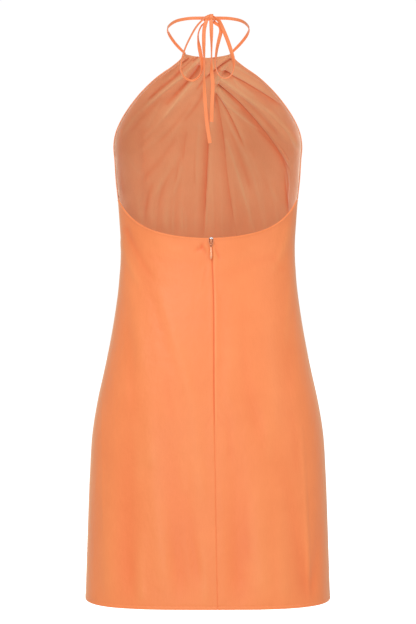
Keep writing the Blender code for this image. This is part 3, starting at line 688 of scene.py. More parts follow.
def fold_rise(table, x, z, tail=None):
    """How far each point stands inwards because of the folds. tail gives how far a fold runs straight
    on past its last point while it dies away."""
    t = np.linspace(0, 1, FOLD_SAMPLES)[:, None]
    last = FOLD_SAMPLES - 1
    rise = np.zeros_like(x)
    for fold in table:
        start, through, end = np.reshape(fold[:6], (3, 2))
        turn = 2 * through - (start + end) / 2
        curve = ((1 - t) ** 2 * start + 2 * t * (1 - t) * turn + t**2 * end) * MM
        run_on = tail(fold) if tail else 0.0
        if run_on:
            heading = curve[-1] - curve[-2]
            curve = np.vstack([curve, curve[-1] + heading * run_on / np.linalg.norm(heading)])
        reach = fold.reach * MM
        margin = 3 * max(reach, STEP_SPREAD if fold.step else 0)
        (low_x, low_z), (high_x, high_z) = curve.min(axis=0) - margin, curve.max(axis=0) + margin
        near = (x > low_x) & (x < high_x) & (z > low_z) & (z < high_z)
        best, along, side = nearest_on(curve, x[near], z[near])
        along = np.where(along > last, 1 + along - last, along / last)
        # A fold dies away over its last stretch, or partly there and the rest along its tail.
        if run_on:
            ending = 1 - (1 - TAIL_START) * ease((along - TAIL_FROM) / (1 - TAIL_FROM))
            ending *= 1 - ease(along - 1)
        else:
            ending = np.minimum(1, (FOLD_END - along) * FOLD_END_SLOPE)
        height = fold.rise_start + (fold.rise_end - fold.rise_start) * np.minimum(along, 1)
        height *= bell(best, reach)
        height += fold.step / 2 * np.tanh(side * best / STEP_EDGE) * bell(best, STEP_SPREAD)
        rise[near] += height * ending * MM
    return rise


def ripples():
    """Shallow upright ripples between the gathers and the waist, uneven in place and depth."""
    found = []
    for i in range(RIPPLE_COUNT):
        end_x = RIPPLE_FIRST_X + i * RIPPLE_SPACING + math.sin(i * 2.4) * 2.6
        start_z = -196 - 34 * (0.5 + 0.5 * math.sin(i * 1.7))
        depth = RIPPLE_DEPTH * (0.55 + 0.45 * math.sin(i * 3.1 + 1.0)) * (-1 if i % 2 else 1)
        reach = RIPPLE_REACH * (1 + 0.25 * math.sin(i * 1.3))
        found += folds((end_x * 0.80, start_z, end_x * 0.93, -270, end_x, -350, 0.1, depth, reach))
    return found


def seam_rise(x, z):
    """The step at the slanting seam, which dies away to each side and past its two ends."""
    distance, _, side = nearest_on(np.array(SEAM_LINE, float) * MM, x, z)
    return -SEAM_STEP * np.tanh(side * distance / SEAM_STEP_SLOPE) * bell(distance, SEAM_STEP_REACH)


def turned_edge(distance):
    """Height of a narrow turned hem at a distance from its edge: a swell and a stitched groove."""
    swell = HEM_SWELL * soft_step(HEM_TURN - distance, HEM_SWELL_END)
    return swell - HEM_GROOVE * bell(distance - HEM_TURN, HEM_GROOVE_REACH)


def hem_lift(side, above_hem):
    """The hem curves up a little at the side seams."""
    return HEM_CORNER * bell(side, HEM_CORNER_REACH) * np.exp(-above_hem / HEM_CORNER_HEIGHT)


def stations(length, count, first_half=0.5):
    """Distances along a length, close together near both ends. first_half is the share of the
    stations between them that lies before the middle."""
    ends = np.array(EDGE_STEPS) * MM
    length = np.asarray(length)[..., None]
    inner = np.interp(np.linspace(0, 1, count + 2)[1:-1], [0, first_half, 1], [0, 0.5, 1])
    middle = ends[-1] + (length - 2 * ends[-1]) * inner
    return np.concatenate([ends + 0 * length, middle, length - ends[::-1]], axis=-1)


def front_row_heights():
    """The height in the middle and at the side edges of each of the front's rows, from the hem up."""
    parts = [
        np.linspace(row[:2], below[:2], row.rows_to_next, endpoint=False)
        for row, below in zip(FRONT_ROWS[:-1], FRONT_ROWS[1:])
    ]
    hem = HEM_Z / MM + np.array(EDGE_STEPS[::-1])
    return np.concatenate([*parts, np.stack([hem, hem], axis=1)])[::-1] * MM


def front_points(surface):
    """The front's outer surface, with rows from the hem up and columns from the wearer's right to the
    left, and each point's relief: how far it stands inwards, from -1 to 1."""
    heights = front_row_heights()
    middle_z, edge_z = heights[:, :1], heights[:, 1:]
    level = np.linspace(1, 0, FRONT_COLUMNS + 2 * len(EDGE_STEPS))[None]
    for _ in range(4):
        z = middle_z + (edge_z - middle_z) * np.abs(2 * level - 1) ** ROW_BEND
        length = surface.length(z)
        level = 1 - stations(length[:, 0], FRONT_COLUMNS, PLEATED_SHARE) / length[:, :1]
    side = side_distance(surface.at(level, z))
    above_hem = z - HEM_Z
    points = surface.at(level, z + hem_lift(side, above_hem))
    x, z = points[..., 0], points[..., 2]
    broad = fold_rise(FRONT_FOLDS, x, z, pleat_tail) * fade(side, EDGE_FADE)
    fine = fold_rise(FRONT_CREASES + ripples(), x, z, pleat_tail) * fade(side, CREASE_FADE)
    rise = broad + fine + seam_rise(x, z) * fade(side, EDGE_FADE)
    rise -= turned_edge(above_hem) + turned_edge(side) * (z > UNDERARM_Z)
    # The relief, from which the satin paints shade into sunk creases and a highlight onto ridges.
    relief = np.tanh(fine / FINE_RELIEF + broad / BROAD_RELIEF)
    return points - wall_normals(points) * rise[..., None], relief


def back_points(surface, left):
    """The same for one back panel, with columns towards the wearer's right."""
    outer, inner = (0, -1) if left else (-1, 0)
    gap = CENTRE_SEAM_GAP / 2 * (1 if left else -1)

    def place(z):
        seam_x = [values_at(CENTRE_BACK, "x", height) * MM + gap for height in z[:, inner]]
        seam = surface.fraction_at(np.broadcast_to(seam_x, z.shape), z)
        length = surface.length(z)
        width = (seam * length if left else (1 - seam) * length).mean(axis=1)
        near = stations(width, BACK_COLUMNS) / width[:, None]
        return surface.at(near * seam if left else seam + near * (1 - seam), z)

    top = np.full(BACK_COLUMNS + 2 * len(EDGE_STEPS), SCOOP_Z)
    for _ in range(12):
        top = scoop_z(place(top[None])[0, :, 0])
    above_hem = stations(top - HEM_Z, BACK_ROWS).T
    z = HEM_Z + above_hem
    points = place(z)
    side = side_distance(points)
    to_side = np.linalg.norm(points - points[:, [outer]], axis=2)
    sag = BACK_HEM_SAG * np.exp(-above_hem / HEM_CORNER_HEIGHT) * fade(to_side, BACK_SAG_FADE)
    points[..., 2] += hem_lift(to_side, above_hem) - sag
    to_seam = np.linalg.norm(points - points[:, [inner]], axis=2)
    from_top = top - z
    over_zip = soft_step(z - ZIP_BOTTOM_Z, ZIP_END_SOFTNESS)

    broad = fold_rise(BACK_FOLDS, points[..., 0], z) * fade(side, EDGE_FADE)
    fine = fold_rise(BACK_CREASES, points[..., 0], z) * fade(side, PUCKER_FADE)
    rise = broad + fine - turned_edge(above_hem)
    rise += SCOOP_ROLL * bell(from_top, SCOOP_ROLL_REACH)
    rise -= SCOOP_BEAD * bell(from_top - SCOOP_BEAD_DOWN, SCOOP_BEAD_REACH)
    rise += (SEAM_DIP + ZIP_DIP * over_zip) * bell(to_seam, SEAM_DIP_REACH)
    rise -= ZIP_SWELL * over_zip * bell(to_seam - ZIP_SWELL_OFF, ZIP_SWELL_REACH)
    # The relief, from which the satin paints shade into sunk creases and a highlight onto ridges.
    relief = np.tanh(fine / BACK_FINE_RELIEF + broad / BACK_RELIEF)
    # Painted shade along the seam, deeper over the zip, and on the right panel a painted highlight on the
    # zip's lip.
    relief += (SEAM_SHADE + ZIP_SHADE * over_zip) * bell(to_seam, SEAM_SHADE_REACH)
    if not left:
        relief -= LIP_LIGHT * over_zip * bell(to_seam - LIP_OFF, LIP_REACH)
    return points - wall_normals(points) * rise[..., None], relief


# --- Meshes ---
def add_object(name, data, materials=(), place=None):
    obj = bpy.data.objects.new(name, data)
    for material in materials:
        data.materials.append(material)
    if place is not None:
        obj.matrix_world = place
    bpy.context.scene.collection.objects.link(obj)
    return obj


def mesh_object(name, form, materials, place=None):
    mesh = bpy.data.meshes.new(name)
    form.to_mesh(mesh)
    form.free()
    mesh.shade_smooth()
    return add_object(name, mesh, materials, place)


def dress_piece(piece, node=None, body="dress"):
    """Hangs a piece on the body that carries it and hides the node of the solids that it stands for."""
    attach(piece, body)
    if node:
        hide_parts(node)
    return piece


def grid_object(name, points, materials, wrap=False, relief=None):
    """A smooth sheet through a grid of points, with the cloth's own coordinates in metres and, where
    relief is given, how far each point stands inwards of the plain form, from -1 to 1, kept as a map from
    which the satin paints shade and highlight."""
    rows, columns = points.shape[0] - 1, points.shape[1] - 1
    grid = bmesh.new()
    bmesh.ops.create_grid(grid, x_segments=columns, y_segments=rows, size=1)
    across = lengths_along(points, axis=1)
    across -= across[:, [columns // 2]]
    along = lengths_along(points[:, columns // 2])
    layer = grid.loops.layers.uv.new("cloth")
    if relief is not None:
        relief_layer = grid.loops.layers.uv.new("relief")
    place = {}
    for vertex in grid.verts:
        column = round((vertex.co.x + 1) / 2 * columns)
        row = round((vertex.co.y + 1) / 2 * rows)
        place[vertex] = (row, column)
        vertex.co = points[row, column]
    for face in grid.faces:
        for loop in face.loops:
            row, column = place[loop.vert]
            loop[layer].uv = (across[row, column], along[row])
            if relief is not None:
                loop[relief_layer].uv = (relief[row, column], 0.0)
    if wrap:
        bmesh.ops.remove_doubles(grid, verts=grid.verts, dist=1e-6)
        bmesh.ops.holes_fill(grid, edges=grid.edges)
        bmesh.ops.recalc_face_normals(grid, faces=grid.faces)
    return mesh_object(name, grid, materials)


def solid_form(name, form, place, material):
    bmesh.ops.recalc_face_normals(form, faces=form.faces[:])
    return mesh_object(name, form, [material], place)


def thicken(sheet, thickness):
    """Gives a sheet its thickness, inwards."""
    solidify = sheet.modifiers.new("cloth", "SOLIDIFY")
    solidify.thickness = thickness
    solidify.offset = -1
    return solidify


def make_sheet(name, points, relief, outside, inside):
    """A thin shell of cloth whose outer face passes through the points."""
    sheet = grid_object(name, points, [outside, inside], relief=relief)
    solidify = thicken(sheet, CLOTH)
    solidify.use_even_offset = True
    solidify.material_offset = 1
    soften = sheet.modifiers.new("soft_edges", "BEVEL")
    soften.width = 0.3 * CLOTH
    soften.segments = 2
    soften.limit_method = "ANGLE"
    soften.angle_limit = math.radians(60)
    return sheet


def strip_within(points, name, material, depth, thickness):
    """A strip of cloth against the inside of a wall, at a depth below its outer surface."""
    strip = grid_object(name, points - wall_normals(points) * depth, [material])
    thicken(strip, thickness)
    return dress_piece(strip)


def make_seam(name, first, second, material):
    """The line where two folded edges meet, just below the surface: the last columns of the first
    grid and the first columns of the second."""
    edge = first[:, -1] if len(first) >= len(second) else second[:, 0]
    lines = [first[:, -3], first[:, -2], first[:, -1], second[:, 0], second[:, 1], second[:, 2]]
    lines = [read_at(edge[:, 2], line[:, 2], line) for line in lines]
    tuck = np.stack([*lines[:2], (lines[2] + lines[3]) / 2, *lines[4:]], axis=1)
    return strip_within(tuck[1:-3], name, material, SEAM_TUCK_DEPTH, SEAM_TUCK_THICKNESS)


def make_allowances(node, points, material):
    """The turned and pressed-open cloth inside a panel: at its hem, its seams and its top edge."""
    near = len(EDGE_STEPS) + 2
    rows = {"hem": points[: len(EDGE_STEPS) - 1]}
    if node == "front":
        low = points[:, 0, 2] < UNDERARM_Z
        rows["side_right"] = points[low][:, :near]
        rows["side_left"] = points[low][:, -near:]
        rows["armhole_right"] = points[~low][:, : near - 1]
        rows["armhole_left"] = points[~low][:, 1 - near :]
    else:
        first, last = points[:, :near], points[:, -near:]
        side, centre = (first, last) if node == "back_left" else (last, first)
        rows["side"] = side
        rows["centre"] = centre[points[:, 0, 2] < ZIP_BOTTOM_Z]
        rows["top"] = points[-near:]
    return [
        strip_within(grid, f"{node}_{name}_turning", material, ALLOWANCE_DEPTH, ALLOWANCE_THICKNESS)
        for name, grid in rows.items()
    ]


def ring_angles(sides):
    return 2 * math.pi * np.arange(sides) / sides


def loft(form, rings):
    """Faces between closed rings of points, and over the first and the last."""
    rings = [[form.verts.new(point) for point in ring] for ring in rings]
    for lower, upper in zip(rings[:-1], rings[1:]):
        for side in range(len(lower)):
            after = (side + 1) % len(lower)
            form.faces.new([lower[side], lower[after], upper[after], upper[side]])
    form.faces.new(rings[0][::-1])
    form.faces.new(rings[-1])


def make_stitches(name, lines, material):
    """Rows of machine stitches, each a short rounded thread that dips into the cloth at both ends."""
    form = bmesh.new()
    angles = ring_angles(STITCH_SIDES)[:, None]
    shares = np.linspace(0, 1, 4)
    height = STITCH_RADIUS * (2.0 * np.sin(math.pi * shares) - 1.0)
    for places, facings in lines:
        run = lengths_along(places)
        for start in np.arange(STITCH_START, run[-1] - STITCH_PITCH, STITCH_PITCH):
            at = start + shares * STITCH_LENGTH
            out = read_at(at, run, facings)
            middle = read_at(at, run, places) + out * height[:, None]
            ahead = middle[-1] - middle[0]
            across = np.cross(ahead / np.linalg.norm(ahead), out[0])
            off = across * np.cos(angles) + out[:, None] * np.sin(angles)
            loft(form, middle[:, None] + STITCH_RADIUS * off)
    return dress_piece(solid_form(name, form, Matrix.Identity(4), material))


def dome(name, centre, size, place, material):
    """An egg-shaped piece."""
    form = bmesh.new()
    bmesh.ops.create_uvsphere(form, u_segments=32, v_segments=20, radius=1)
    for vertex in form.verts:
        vertex.co = Vector((c * s + m) * MM for c, s, m in zip(vertex.co, size, centre))
    return solid_form(name, form, place, material)


# --- Ties and bow ---
BAND_WIDTH = 6.0 * MM
BAND_THICKNESS = 1.7 * MM
BAND_STEP = 1.6 * MM
BAND_SIDES = 20
TWIST_SMOOTHING = 4  # the twist is evened out over this many steps to each side

NECK_TIE_LEFT = [
    (0.5, 4.2, -0.6), (5.4, 3.4, -0.6), (26, 2.0, -0.6), (40.5, -4, -1.4), (50.5, -12, -2.6),
    (59.5, -27, -5.1), (64.5, -47, -8.1), (61.5, -70, -14.0), (52.0, -94, -24.0),
]
NECK_TIE_RIGHT = [
    (-6.0, 4.2, -0.6), (-10.8, 3.4, -0.6), (-31, 1.5, -0.6), (-48.5, -7, -1.7), (-58.5, -20, -3.6),
    (-65.0, -39, -6.6), (-65.9, -55, -9.0), (-61.9, -74, -15.0), (-52.3, -94, -24.0),
]
NECK_TIE_WIDTHS = ((0, 0.85), (0.9, 0.80), (1, 0.60))
BOW_LOOP_LEFT = [
    (2.6, 8.8, 1.0), (5.4, 9.2, -1.8), (16.6, 9.2, -13.5), (26.2, 9.2, -29.4), (35.7, 9.0, -49.7),
    (41.8, 8.6, -71.6), (42.2, 8.4, -83.0), (36.5, 8.0, -93.6), (26.0, 7.6, -99.0), (16.4, 7.2, -95.2),
    (10.2, 6.8, -86.0), (8.6, 6.6, -74.0), (10.7, 6.4, -60.0), (14.4, 6.4, -40.0), (14.9, 6.4, -26.0),
    (10.6, 6.4, -14.4), (5.6, 6.4, -9.4), (2.8, 6.4, -6.4),
]
BOW_LOOP_RIGHT = [
    (-7.4, 8.6, 0.8), (-10.8, 9.2, -1.2), (-17.8, 9.2, -6.4), (-22.8, 9.2, -17.0), (-29.1, 9.2, -31.9),
    (-35.9, 9.0, -51.3), (-40.2, 8.6, -67.5), (-39.8, 8.3, -82.0), (-35.0, 8.0, -91.8),
    (-27.5, 7.7, -95.2), (-19.6, 7.3, -92.4), (-14.2, 6.9, -84.6), (-12.0, 6.6, -72.0),
    (-13.9, 6.4, -51.3), (-17.4, 6.4, -35.0), (-20.4, 6.4, -22.0), (-18.6, 6.4, -13.8),
    (-13.0, 6.4, -9.8), (-8.4, 6.4, -6.4),
]
TIE_END_LEFT = [
    (1.8, 8.4, -2.4), (2.4, 11.3, -6.4), (5.8, 11.6, -21.6), (6.2, 12.2, -46.6), (5.3, 12.0, -68.0),
    (5.7, 12.0, -98.0), (4.8, 12.2, -123.0), (2.1, 12.4, -159.0), (-3.3, 12.6, -197.0),
]
TIE_END_RIGHT = [
    (-5.0, 8.4, -2.4), (-5.2, 11.3, -6.4), (-5.7, 12.2, -27.0), (-5.8, 12.4, -56.0),
    (-5.6, 12.2, -72.0), (-6.4, 12.0, -90.0), (-7.8, 12.2, -106.0), (-6.6, 12.4, -135.0),
    (-6.0, 12.4, -164.0),
]
NECK_AXIS_Y = -50 * MM

# A band's turns are pairs of a share of its way and the degrees of its twist there.
Cord = namedtuple("Cord", "node route far_end turns")
CORDS = [
    Cord("bow_loop_left", BOW_LOOP_LEFT, "object", [
        (0, 62), (0.12, 62), (0.4, 72), (0.62, 76), (0.69, 20), (0.79, 8), (0.85, 66), (0.91, 82), (1, 78),
    ]),
    Cord("bow_loop_right", BOW_LOOP_RIGHT, "object", [
        (0, 66), (0.06, 40), (0.12, 12), (0.27, 8), (0.36, 44), (0.44, 76),
        (0.62, 79), (0.7, 66), (0.8, 40), (0.88, 15), (1, 30),
    ]),
    Cord("tie_end_left", TIE_END_LEFT, "bare", [
        (0, 10), (0.18, 12), (0.33, 76), (0.45, 74), (0.58, 30), (0.7, 6), (1, 4),
    ]),
    Cord("tie_end_right", TIE_END_RIGHT, "bare", [
        (0, 4), (0.1, 10), (0.24, 60), (0.36, 80), (0.46, 60), (0.56, 12), (1, 4),
    ]),
]

KNOT_CENTRE = (-2.4, 7.2, -0.7)
KNOT_CORE = (7.5, 4.9, 4.6)  # half sizes

# Turns of tie round the knot: an oval of a half height and half depth, which leans at its top, with
# the share of the tie's full width that shows.
KnotWrap = namedtuple("KnotWrap", "label centre height depth lean turn width")
KNOT_WRAPS = [
    KnotWrap("over", (-5.6, 7.2, -0.6), 5.0, 5.2, -0.3, 2, 0.95),
    KnotWrap("cross", (0.8, 7.0, -0.9), 4.3, 4.7, -2.2, 20, 0.75),
    KnotWrap("outer", (3.6, 6.8, -1.8), 3.2, 3.9, -1.8, 26, 0.55),
    KnotWrap("side", (-9.0, 6.6, -1.8), 3.2, 3.8, 1.6, -14, 0.5),
]


def band_section(width, thickness):
    """The outline of a pressed bias tube: rounded edges, and a faint dip along both faces."""
    angles = np.linspace(0, 2 * math.pi, BAND_SIDES + 1)
    x = np.sign(np.cos(angles)) * np.abs(np.cos(angles)) ** 0.75
    y = np.sign(np.sin(angles)) * np.abs(np.sin(angles)) ** 0.62
    return x * width / 2, y * (1 - 0.22 * bell(x, 0.3)) * thickness / 2


def make_band(name, route, turns, facing, material, node=None, widths=((0, 1), (1, 1))):
    """A soft flat band along a route. widths gives pairs of a share of the way and a share of the full
    width. Returns the band and the line down its middle."""
    middle = smooth_route(route, BAND_STEP)
    tangents = np.gradient(middle, axis=0)
    tangents /= np.linalg.norm(tangents, axis=1)[:, None]
    share = np.linspace(0, 1, len(middle))
    kernel = np.hanning(2 * TWIST_SMOOTHING + 1)
    twist = np.pad(np.radians(np.interp(share, *zip(*turns))), TWIST_SMOOTHING, mode="edge")
    twist = np.convolve(twist, kernel / kernel.sum(), mode="valid")
    size = np.interp(share, *zip(*widths))
    rings = np.zeros((len(middle), BAND_SIDES + 1, 3))
    for i, (point, tangent) in enumerate(zip(middle, tangents)):
        across = np.cross(np.array(facing(point), float), tangent)
        across /= np.linalg.norm(across)
        out = np.cross(tangent, across)
        turned = across * math.cos(twist[i]) + out * math.sin(twist[i])
        raised = out * math.cos(twist[i]) - across * math.sin(twist[i])
        x, y = band_section(BAND_WIDTH * size[i], BAND_THICKNESS)
        rings[i] = point + x[:, None] * turned + y[:, None] * raised
    rings[:, -1] = rings[:, 0]
    return dress_piece(grid_object(name, rings, [material], wrap=True), node=node), middle


def away_from_neck(point):
    return point[0], point[1] - NECK_AXIS_Y, 0.0


def to_the_back(_):
    return 0.0, 1.0, 0.0


def make_ties(satin, front):
    """The ties round the neck, each up to the corner of the neckline that carries it, and the bow's
    loops and free ends."""
    for node, route, corner, side in (
        ("neck_tie_left", NECK_TIE_LEFT, front[-1, -4], 1),
        ("neck_tie_right", NECK_TIE_RIGHT, front[-1, 3], -1),
    ):
        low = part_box(node)[0]
        end = (corner[0] / MM, (corner[1] + CLOTH / 2) / MM, low.z / MM)
        turns = [(0, 0), (0.5, 0), (0.75, 42 * side), (1, 30 * side)]
        make_band(node + "_band", route + [end], turns, away_from_neck, satin, node, NECK_TIE_WIDTHS)
    for cord in CORDS:
        band, middle = make_band(
            cord.node + "_band", cord.route, cord.turns, to_the_back, satin, cord.node
        )


def make_knot(satin):
    """The knot: a soft core and the turns of tie that wrap it."""
    core = dome("bow_knot_core", KNOT_CENTRE, KNOT_CORE, Matrix.Identity(4), satin)
    dress_piece(core, node="bow_knot")
    for wrap in KNOT_WRAPS:
        centre = np.array(wrap.centre)
        route = [
            centre + (wrap.lean * math.cos(a), wrap.depth * math.sin(a), wrap.height * math.cos(a))
            for a in np.linspace(0, 2 * math.pi, 17)
        ]

        def outwards(point, centre=centre):
            return (point - centre * MM) * (0, 1, 1)

        turns = [(0, wrap.turn), (1, wrap.turn)]
        widths = ((0, wrap.width), (1, wrap.width))
        make_band("bow_knot_turn_" + wrap.label, route, turns, outwards, satin, widths=widths)


# --- Zip ---
ZIP_TOP = (-5.0, 26.99, -344.0)
ZIP_LEAN = math.atan2(0.0832, 0.9965)  # the cloth runs down and outwards below the zip's top
PIVOT_DOWN = 6.0
PIVOT_OUT = 2.8
# Wires, by their points across the zip, down the cloth and out of it: the slider's from the zip's top,
# and the pull's from its axis.
BRIDGE = [(0, 3.6, 1.0), (0, 3.8, 3.6), (0, 4.6, 4.4), (0, 8.4, 4.4), (0, 10.0, 3.4), (0, 10.8, 1.0)]
RAIL = [(3.4, 2.8, 0.9), (3.6, 6.0, 1.0), (3.1, 9.6, 0.9), (1.9, 12.6, 0.8)]
YOKE = [
    (-2.2, 0, 0), (2.2, 0, 0), (2.75, 0.7, 0), (2.6, 2.8, 0), (1.6, 5.0, 0), (0.6, 6.3, 0),
    (-0.6, 6.3, 0), (-1.6, 5.0, 0), (-2.6, 2.8, 0), (-2.75, 0.7, 0),
]
RING_DOWN = 8.3  # the ring that joins the pull's yoke to its drop
RING_HALF_WIDTH, RING_HALF_LENGTH = 1.45, 1.9

# The drop's half widths, and how far its two faces stand from its middle, from the pull's axis down.
DropStation = namedtuple("DropStation", "down half_width front back")
DROP = [DropStation(*row) for row in (
    (10.1, 0.30, 0.20, 0.20),
    (10.5, 0.95, 0.45, 0.45),
    (11.4, 1.25, 0.70, 0.60),
    (14.0, 1.60, 1.25, 0.90),
    (18.0, 1.95, 2.05, 1.10),
    (21.0, 2.15, 2.50, 1.20),
    (24.0, 2.25, 2.60, 1.20),
    (26.4, 2.10, 2.20, 1.10),
    (28.0, 1.60, 1.50, 0.90),
    (29.0, 0.90, 0.80, 0.50),
    (29.4, 0.30, 0.20, 0.20),
)]
DROP_SIDES = 28
DROP_RINGS = 46


def zip_place():
    """The slider's own frame: X across, Y down the cloth, Z out of it."""
    down = Vector((0, math.sin(ZIP_LEAN), -math.cos(ZIP_LEAN)))
    across = Vector((1, 0, 0))
    place = Matrix((across, down, across.cross(down))).transposed().to_4x4()
    place.translation = Vector(ZIP_TOP) * MM
    return place


def rounded_box(name, low, high, place, material, rounding):
    form = bmesh.new()
    bmesh.ops.create_cube(form, size=1)
    low, high = Vector(low) * MM, Vector(high) * MM
    for vertex in form.verts:
        vertex.co = Vector(c * s for c, s in zip(vertex.co, high - low)) + (low + high) / 2
    obj = solid_form(name, form, place, material)
    soften = obj.modifiers.new("soften", "BEVEL")
    soften.width = rounding * MM
    soften.segments = 4
    return obj


def wire(name, route, radius, place, material, closed=False):
    """A round wire through points of the zip's frame."""
    curve = bpy.data.curves.new(name, "CURVE")
    curve.dimensions = "3D"
    curve.bevel_depth = radius * MM
    curve.bevel_resolution = 4
    curve.use_fill_caps = True
    spline = curve.splines.new("BEZIER")
    spline.bezier_points.add(len(route) - 1)
    for bend, point in zip(spline.bezier_points, route):
        bend.co = Vector(point) * MM
        bend.handle_left_type = bend.handle_right_type = "AUTO"
    spline.use_cyclic_u = closed
    spline.resolution_u = 6
    return add_object(name, curve, [material], place)


def make_drop(place, material):
    """The pull's enamelled drop, domed on both faces."""
    form = bmesh.new()
    steps = np.linspace(0, len(DROP) - 1, DROP_RINGS)
    angles = ring_angles(DROP_SIDES)
    rings = []
    for down, wide, front, back in read_at(steps, np.arange(len(DROP)), np.array(DROP)):
        out = np.sin(angles)
        thick = np.where(out > 0, front, back) * out
        rings.append(np.stack([wide * np.cos(angles), down + 0 * out, thick], axis=-1) * MM)
    loft(form, rings)
    drop = solid_form("pull_drop", form, place, material)
    smooth = drop.modifiers.new("smooth", "SMOOTH")
    smooth.factor = 0.5
    smooth.iterations = 3
    return drop


def make_zip(steel, enamel, shade):
    """The concealed zip's slider, with a worn bright crown and a body and nose painted dark as shade, and
    its pull: yoke, ring and drop.
    """
    place = zip_place()
    # Body and nose in painted shade: dark sheets for the shadowed slots beside the bridge and the hole
    # behind the pull's ring.
    body = rounded_box("slider_body", (-3.0, 1.4, 0.3), (3.0, 10.6, 1.2), place, shade, 0.4)
    nose = dome("slider_nose", (0, 11.8, 0.65), (2.2, 3.9, 0.55), place, shade)
    crown = dome("slider_crown", (-0.3, 2.4, 1.5), (2.9, 2.2, 1.4), place, steel)
    bridge = wire("slider_bridge", BRIDGE, 0.95, place, enamel)
    rails = [
        wire("slider_rail_" + label, [(side * x, y, z) for x, y, z in RAIL], 0.36, place, enamel)
        for side, label in ((-1, "left"), (1, "right"))
    ]
    dress_piece(body, "zip_slider")
    for piece in (nose, crown, bridge, *rails):
        dress_piece(piece)

    pivot = place @ Matrix.Translation(Vector((0, PIVOT_DOWN, PIVOT_OUT)) * MM)
    ring_route = [
        (RING_HALF_WIDTH * math.cos(a), RING_DOWN + RING_HALF_LENGTH * math.sin(a), 0.0)
        for a in ring_angles(12)
    ]
    yoke = wire("pull_yoke", YOKE, 0.32, pivot, enamel, closed=True)
    ring = wire("pull_ring", ring_route, 0.50, pivot, enamel, closed=True)
    drop = make_drop(pivot, enamel)
    for piece, node in ((yoke, None), (ring, None), (drop, "zip_pull")):
        dress_piece(piece, node, "pull")


# --- Camera, light and floor ---
CAMERA_PLACE = (-0.0003, 2.348, -0.46)
LENS = 57.69
SENSOR_HEIGHT = 24
FLOOR_Z = -1.43
FLOOR_SIZE = 60
AMBIENT = 0.60  # how bright the white studio is as a light, while it shows as plain white
STUDIO_WHITE = 1.02
Light = namedtuple("Light", "name place target size power")
LIGHTS = [Light(*row) for row in (
    ("key", (1.3, 3.6, 2.5), (0, 0, -0.45), (1.8, 1.8), 86),
    ("fill", (-2.2, 2.2, 0.4), (0, 0, -0.45), (2.0, 2.0), 15),
    ("low", (0.25, 2.7, -0.75), (0, 0, -0.30), (0.6, 0.9), 11.5),
    ("front", (-0.5, -4.2, 0.9), (0, 0, -0.45), (1.8, 1.8), 44),
    ("under", (0, -0.05, -1.30), (0, -0.07, -0.10), (0.42, 0.26), 6.5),
)]


def make_camera():
    data = bpy.data.cameras.new("camera")
    data.sensor_fit = "VERTICAL"
    data.sensor_height = SENSOR_HEIGHT
    data.lens = LENS
    camera = add_object("camera", data)
    camera.location = CAMERA_PLACE
    camera.rotation_euler = (math.pi / 2, 0, math.pi)
    bpy.context.scene.camera = camera


def make_light(row):
    data = bpy.data.lights.new(row.name, "AREA")
    data.shape = "RECTANGLE"
    data.size, data.size_y = row.size
    data.energy = row.power
    light = add_object(row.name, data)
    light.location = row.place
    light.rotation_mode = "QUATERNION"
    light.rotation_quaternion = (Vector(row.target) - Vector(row.place)).to_track_quat("-Z", "Y")
    light.visible_camera = False


def make_world():
    """A white studio: it shows as plain white, and lights the dress from all around."""
    world = bpy.data.worlds.new("studio")
    bpy.context.scene.world = world
    world.use_nodes = True
    tree = world.node_tree
    seen = tree.nodes["Background"]
    light = tree.nodes.new("ShaderNodeBackground")
    for background, strength in ((seen, STUDIO_WHITE), (light, AMBIENT)):
        background.inputs["Color"].default_value = (*WHITE, 1)
        background.inputs["Strength"].default_value = strength
    path = tree.nodes.new("ShaderNodeLightPath")
    choice = tree.nodes.new("ShaderNodeMixShader")
    tree.links.new(path.outputs["Is Camera Ray"], choice.inputs["Fac"])
    tree.links.new(light.outputs["Background"], choice.inputs[1])
    tree.links.new(seen.outputs["Background"], choice.inputs[2])
    tree.links.new(choice.outputs["Shader"], tree.nodes["World Output"].inputs["Surface"])


def make_stage():
    bpy.ops.mesh.primitive_plane_add(size=FLOOR_SIZE, location=(0, 0, FLOOR_Z))
    floor = bpy.context.object
    floor.name = "floor"
    floor.data.materials.append(make_floor_material())
    floor.visible_diffuse = False
    floor.visible_glossy = False
    make_world()
    bpy.context.scene.view_settings.view_transform = "Standard"
    for row in LIGHTS:
        make_light(row)


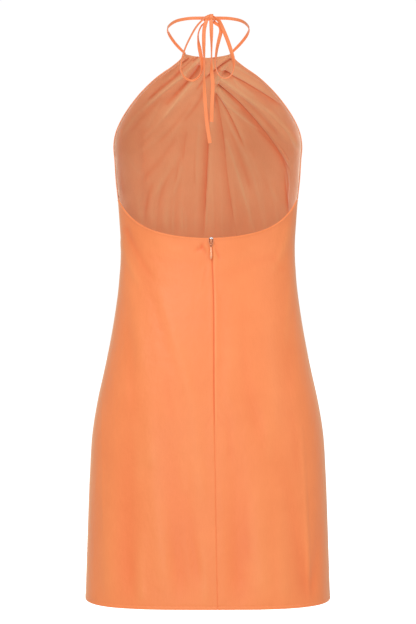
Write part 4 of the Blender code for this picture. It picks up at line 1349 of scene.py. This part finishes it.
def stitch_lines(node, points):
    """Where a panel is stitched: along its hem and, on the front, down both armholes."""
    lines = [line_at(points, HEM_TURN)]
    if node == "front":
        above = points[:, 0, 2] > UNDERARM_Z + STITCH_PITCH
        turned = points[above].transpose(1, 0, 2)
        places, facings = line_at(turned, HEM_TURN)
        lines += [(places, -facings), line_at(turned[::-1], HEM_TURN)]
    return lines


def main():
    make_camera()
    make_stage()
    outside = make_satin(
        "satin", (0.85, 0.232, 0.072), (0.90, 0.260, 0.085), 0.46, 0.70, (1.0, 0.72, 0.44), 0.36, -1
    )
    inside = make_satin(
        "satin_inside", (0.610, 0.236, 0.109), (0.660, 0.272, 0.132), 0.8, 1.0, (1.0, 0.91, 0.76), 0.2,
        side=1, sheen_roughness=0.42,
    )
    tie_satin = make_satin(
        "satin_ties", (0.85, 0.235, 0.078), (0.90, 0.262, 0.091), 0.44, 0.5, (1.0, 0.80, 0.64), 0.4
    )
    steel = make_metal("zip_steel", (0.78, 0.79, 0.82), 0.22, 1.0)
    enamel = make_metal("zip_enamel", (0.95, 0.36, 0.15), 0.25, 0.0, coat=1.0)
    # Painted shade for the slider's shadowed slots and the hole behind the pull's ring.
    shade = make_metal("zip_painted_shade", (0.26, 0.030, 0.010), 0.8, 0.0, specular=0.1)
    tape = make_tape_material()

    front, front_relief = front_points(Surface(front_section, HEM_Z, NECKLINE_Z))
    back_surface = Surface(back_section, HEM_Z, UNDERARM_Z)
    back_left, left_relief = back_points(back_surface, True)
    back_right, right_relief = back_points(back_surface, False)
    sheets = (
        ("front", front, front_relief, (0.52, 0.875), 0.377),
        ("back_left", back_left, left_relief, (0.262, 0.632), 0.148),
        ("back_right", back_right, right_relief, (0.25, 0.632), 0.136),
    )
    seams = {
        "front": (),
        "back_left": (("side_seam_left", front, back_left),),
        "back_right": (
            ("side_seam_right", back_right, front), ("centre_back_seam", back_left, back_right),
        ),
    }
    thread = make_thread_material()
    for node, points, relief, flat, area in sheets:
        piece = dress_piece(make_sheet(node + "_cloth", points, relief, outside, inside), node=node)
        finish = make_allowances(node, points, inside)
        finish += [make_seam(*seam, outside) for seam in seams[node]]
        finish.append(make_stitches(node + "_stitches", stitch_lines(node, points), thread))

    make_ties(tie_satin, front)
    make_knot(tie_satin)
    make_zip(steel, enamel, shade)
    tape_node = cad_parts["zip_tape"].data
    tape_node.materials.clear()
    tape_node.materials.append(tape)


main()
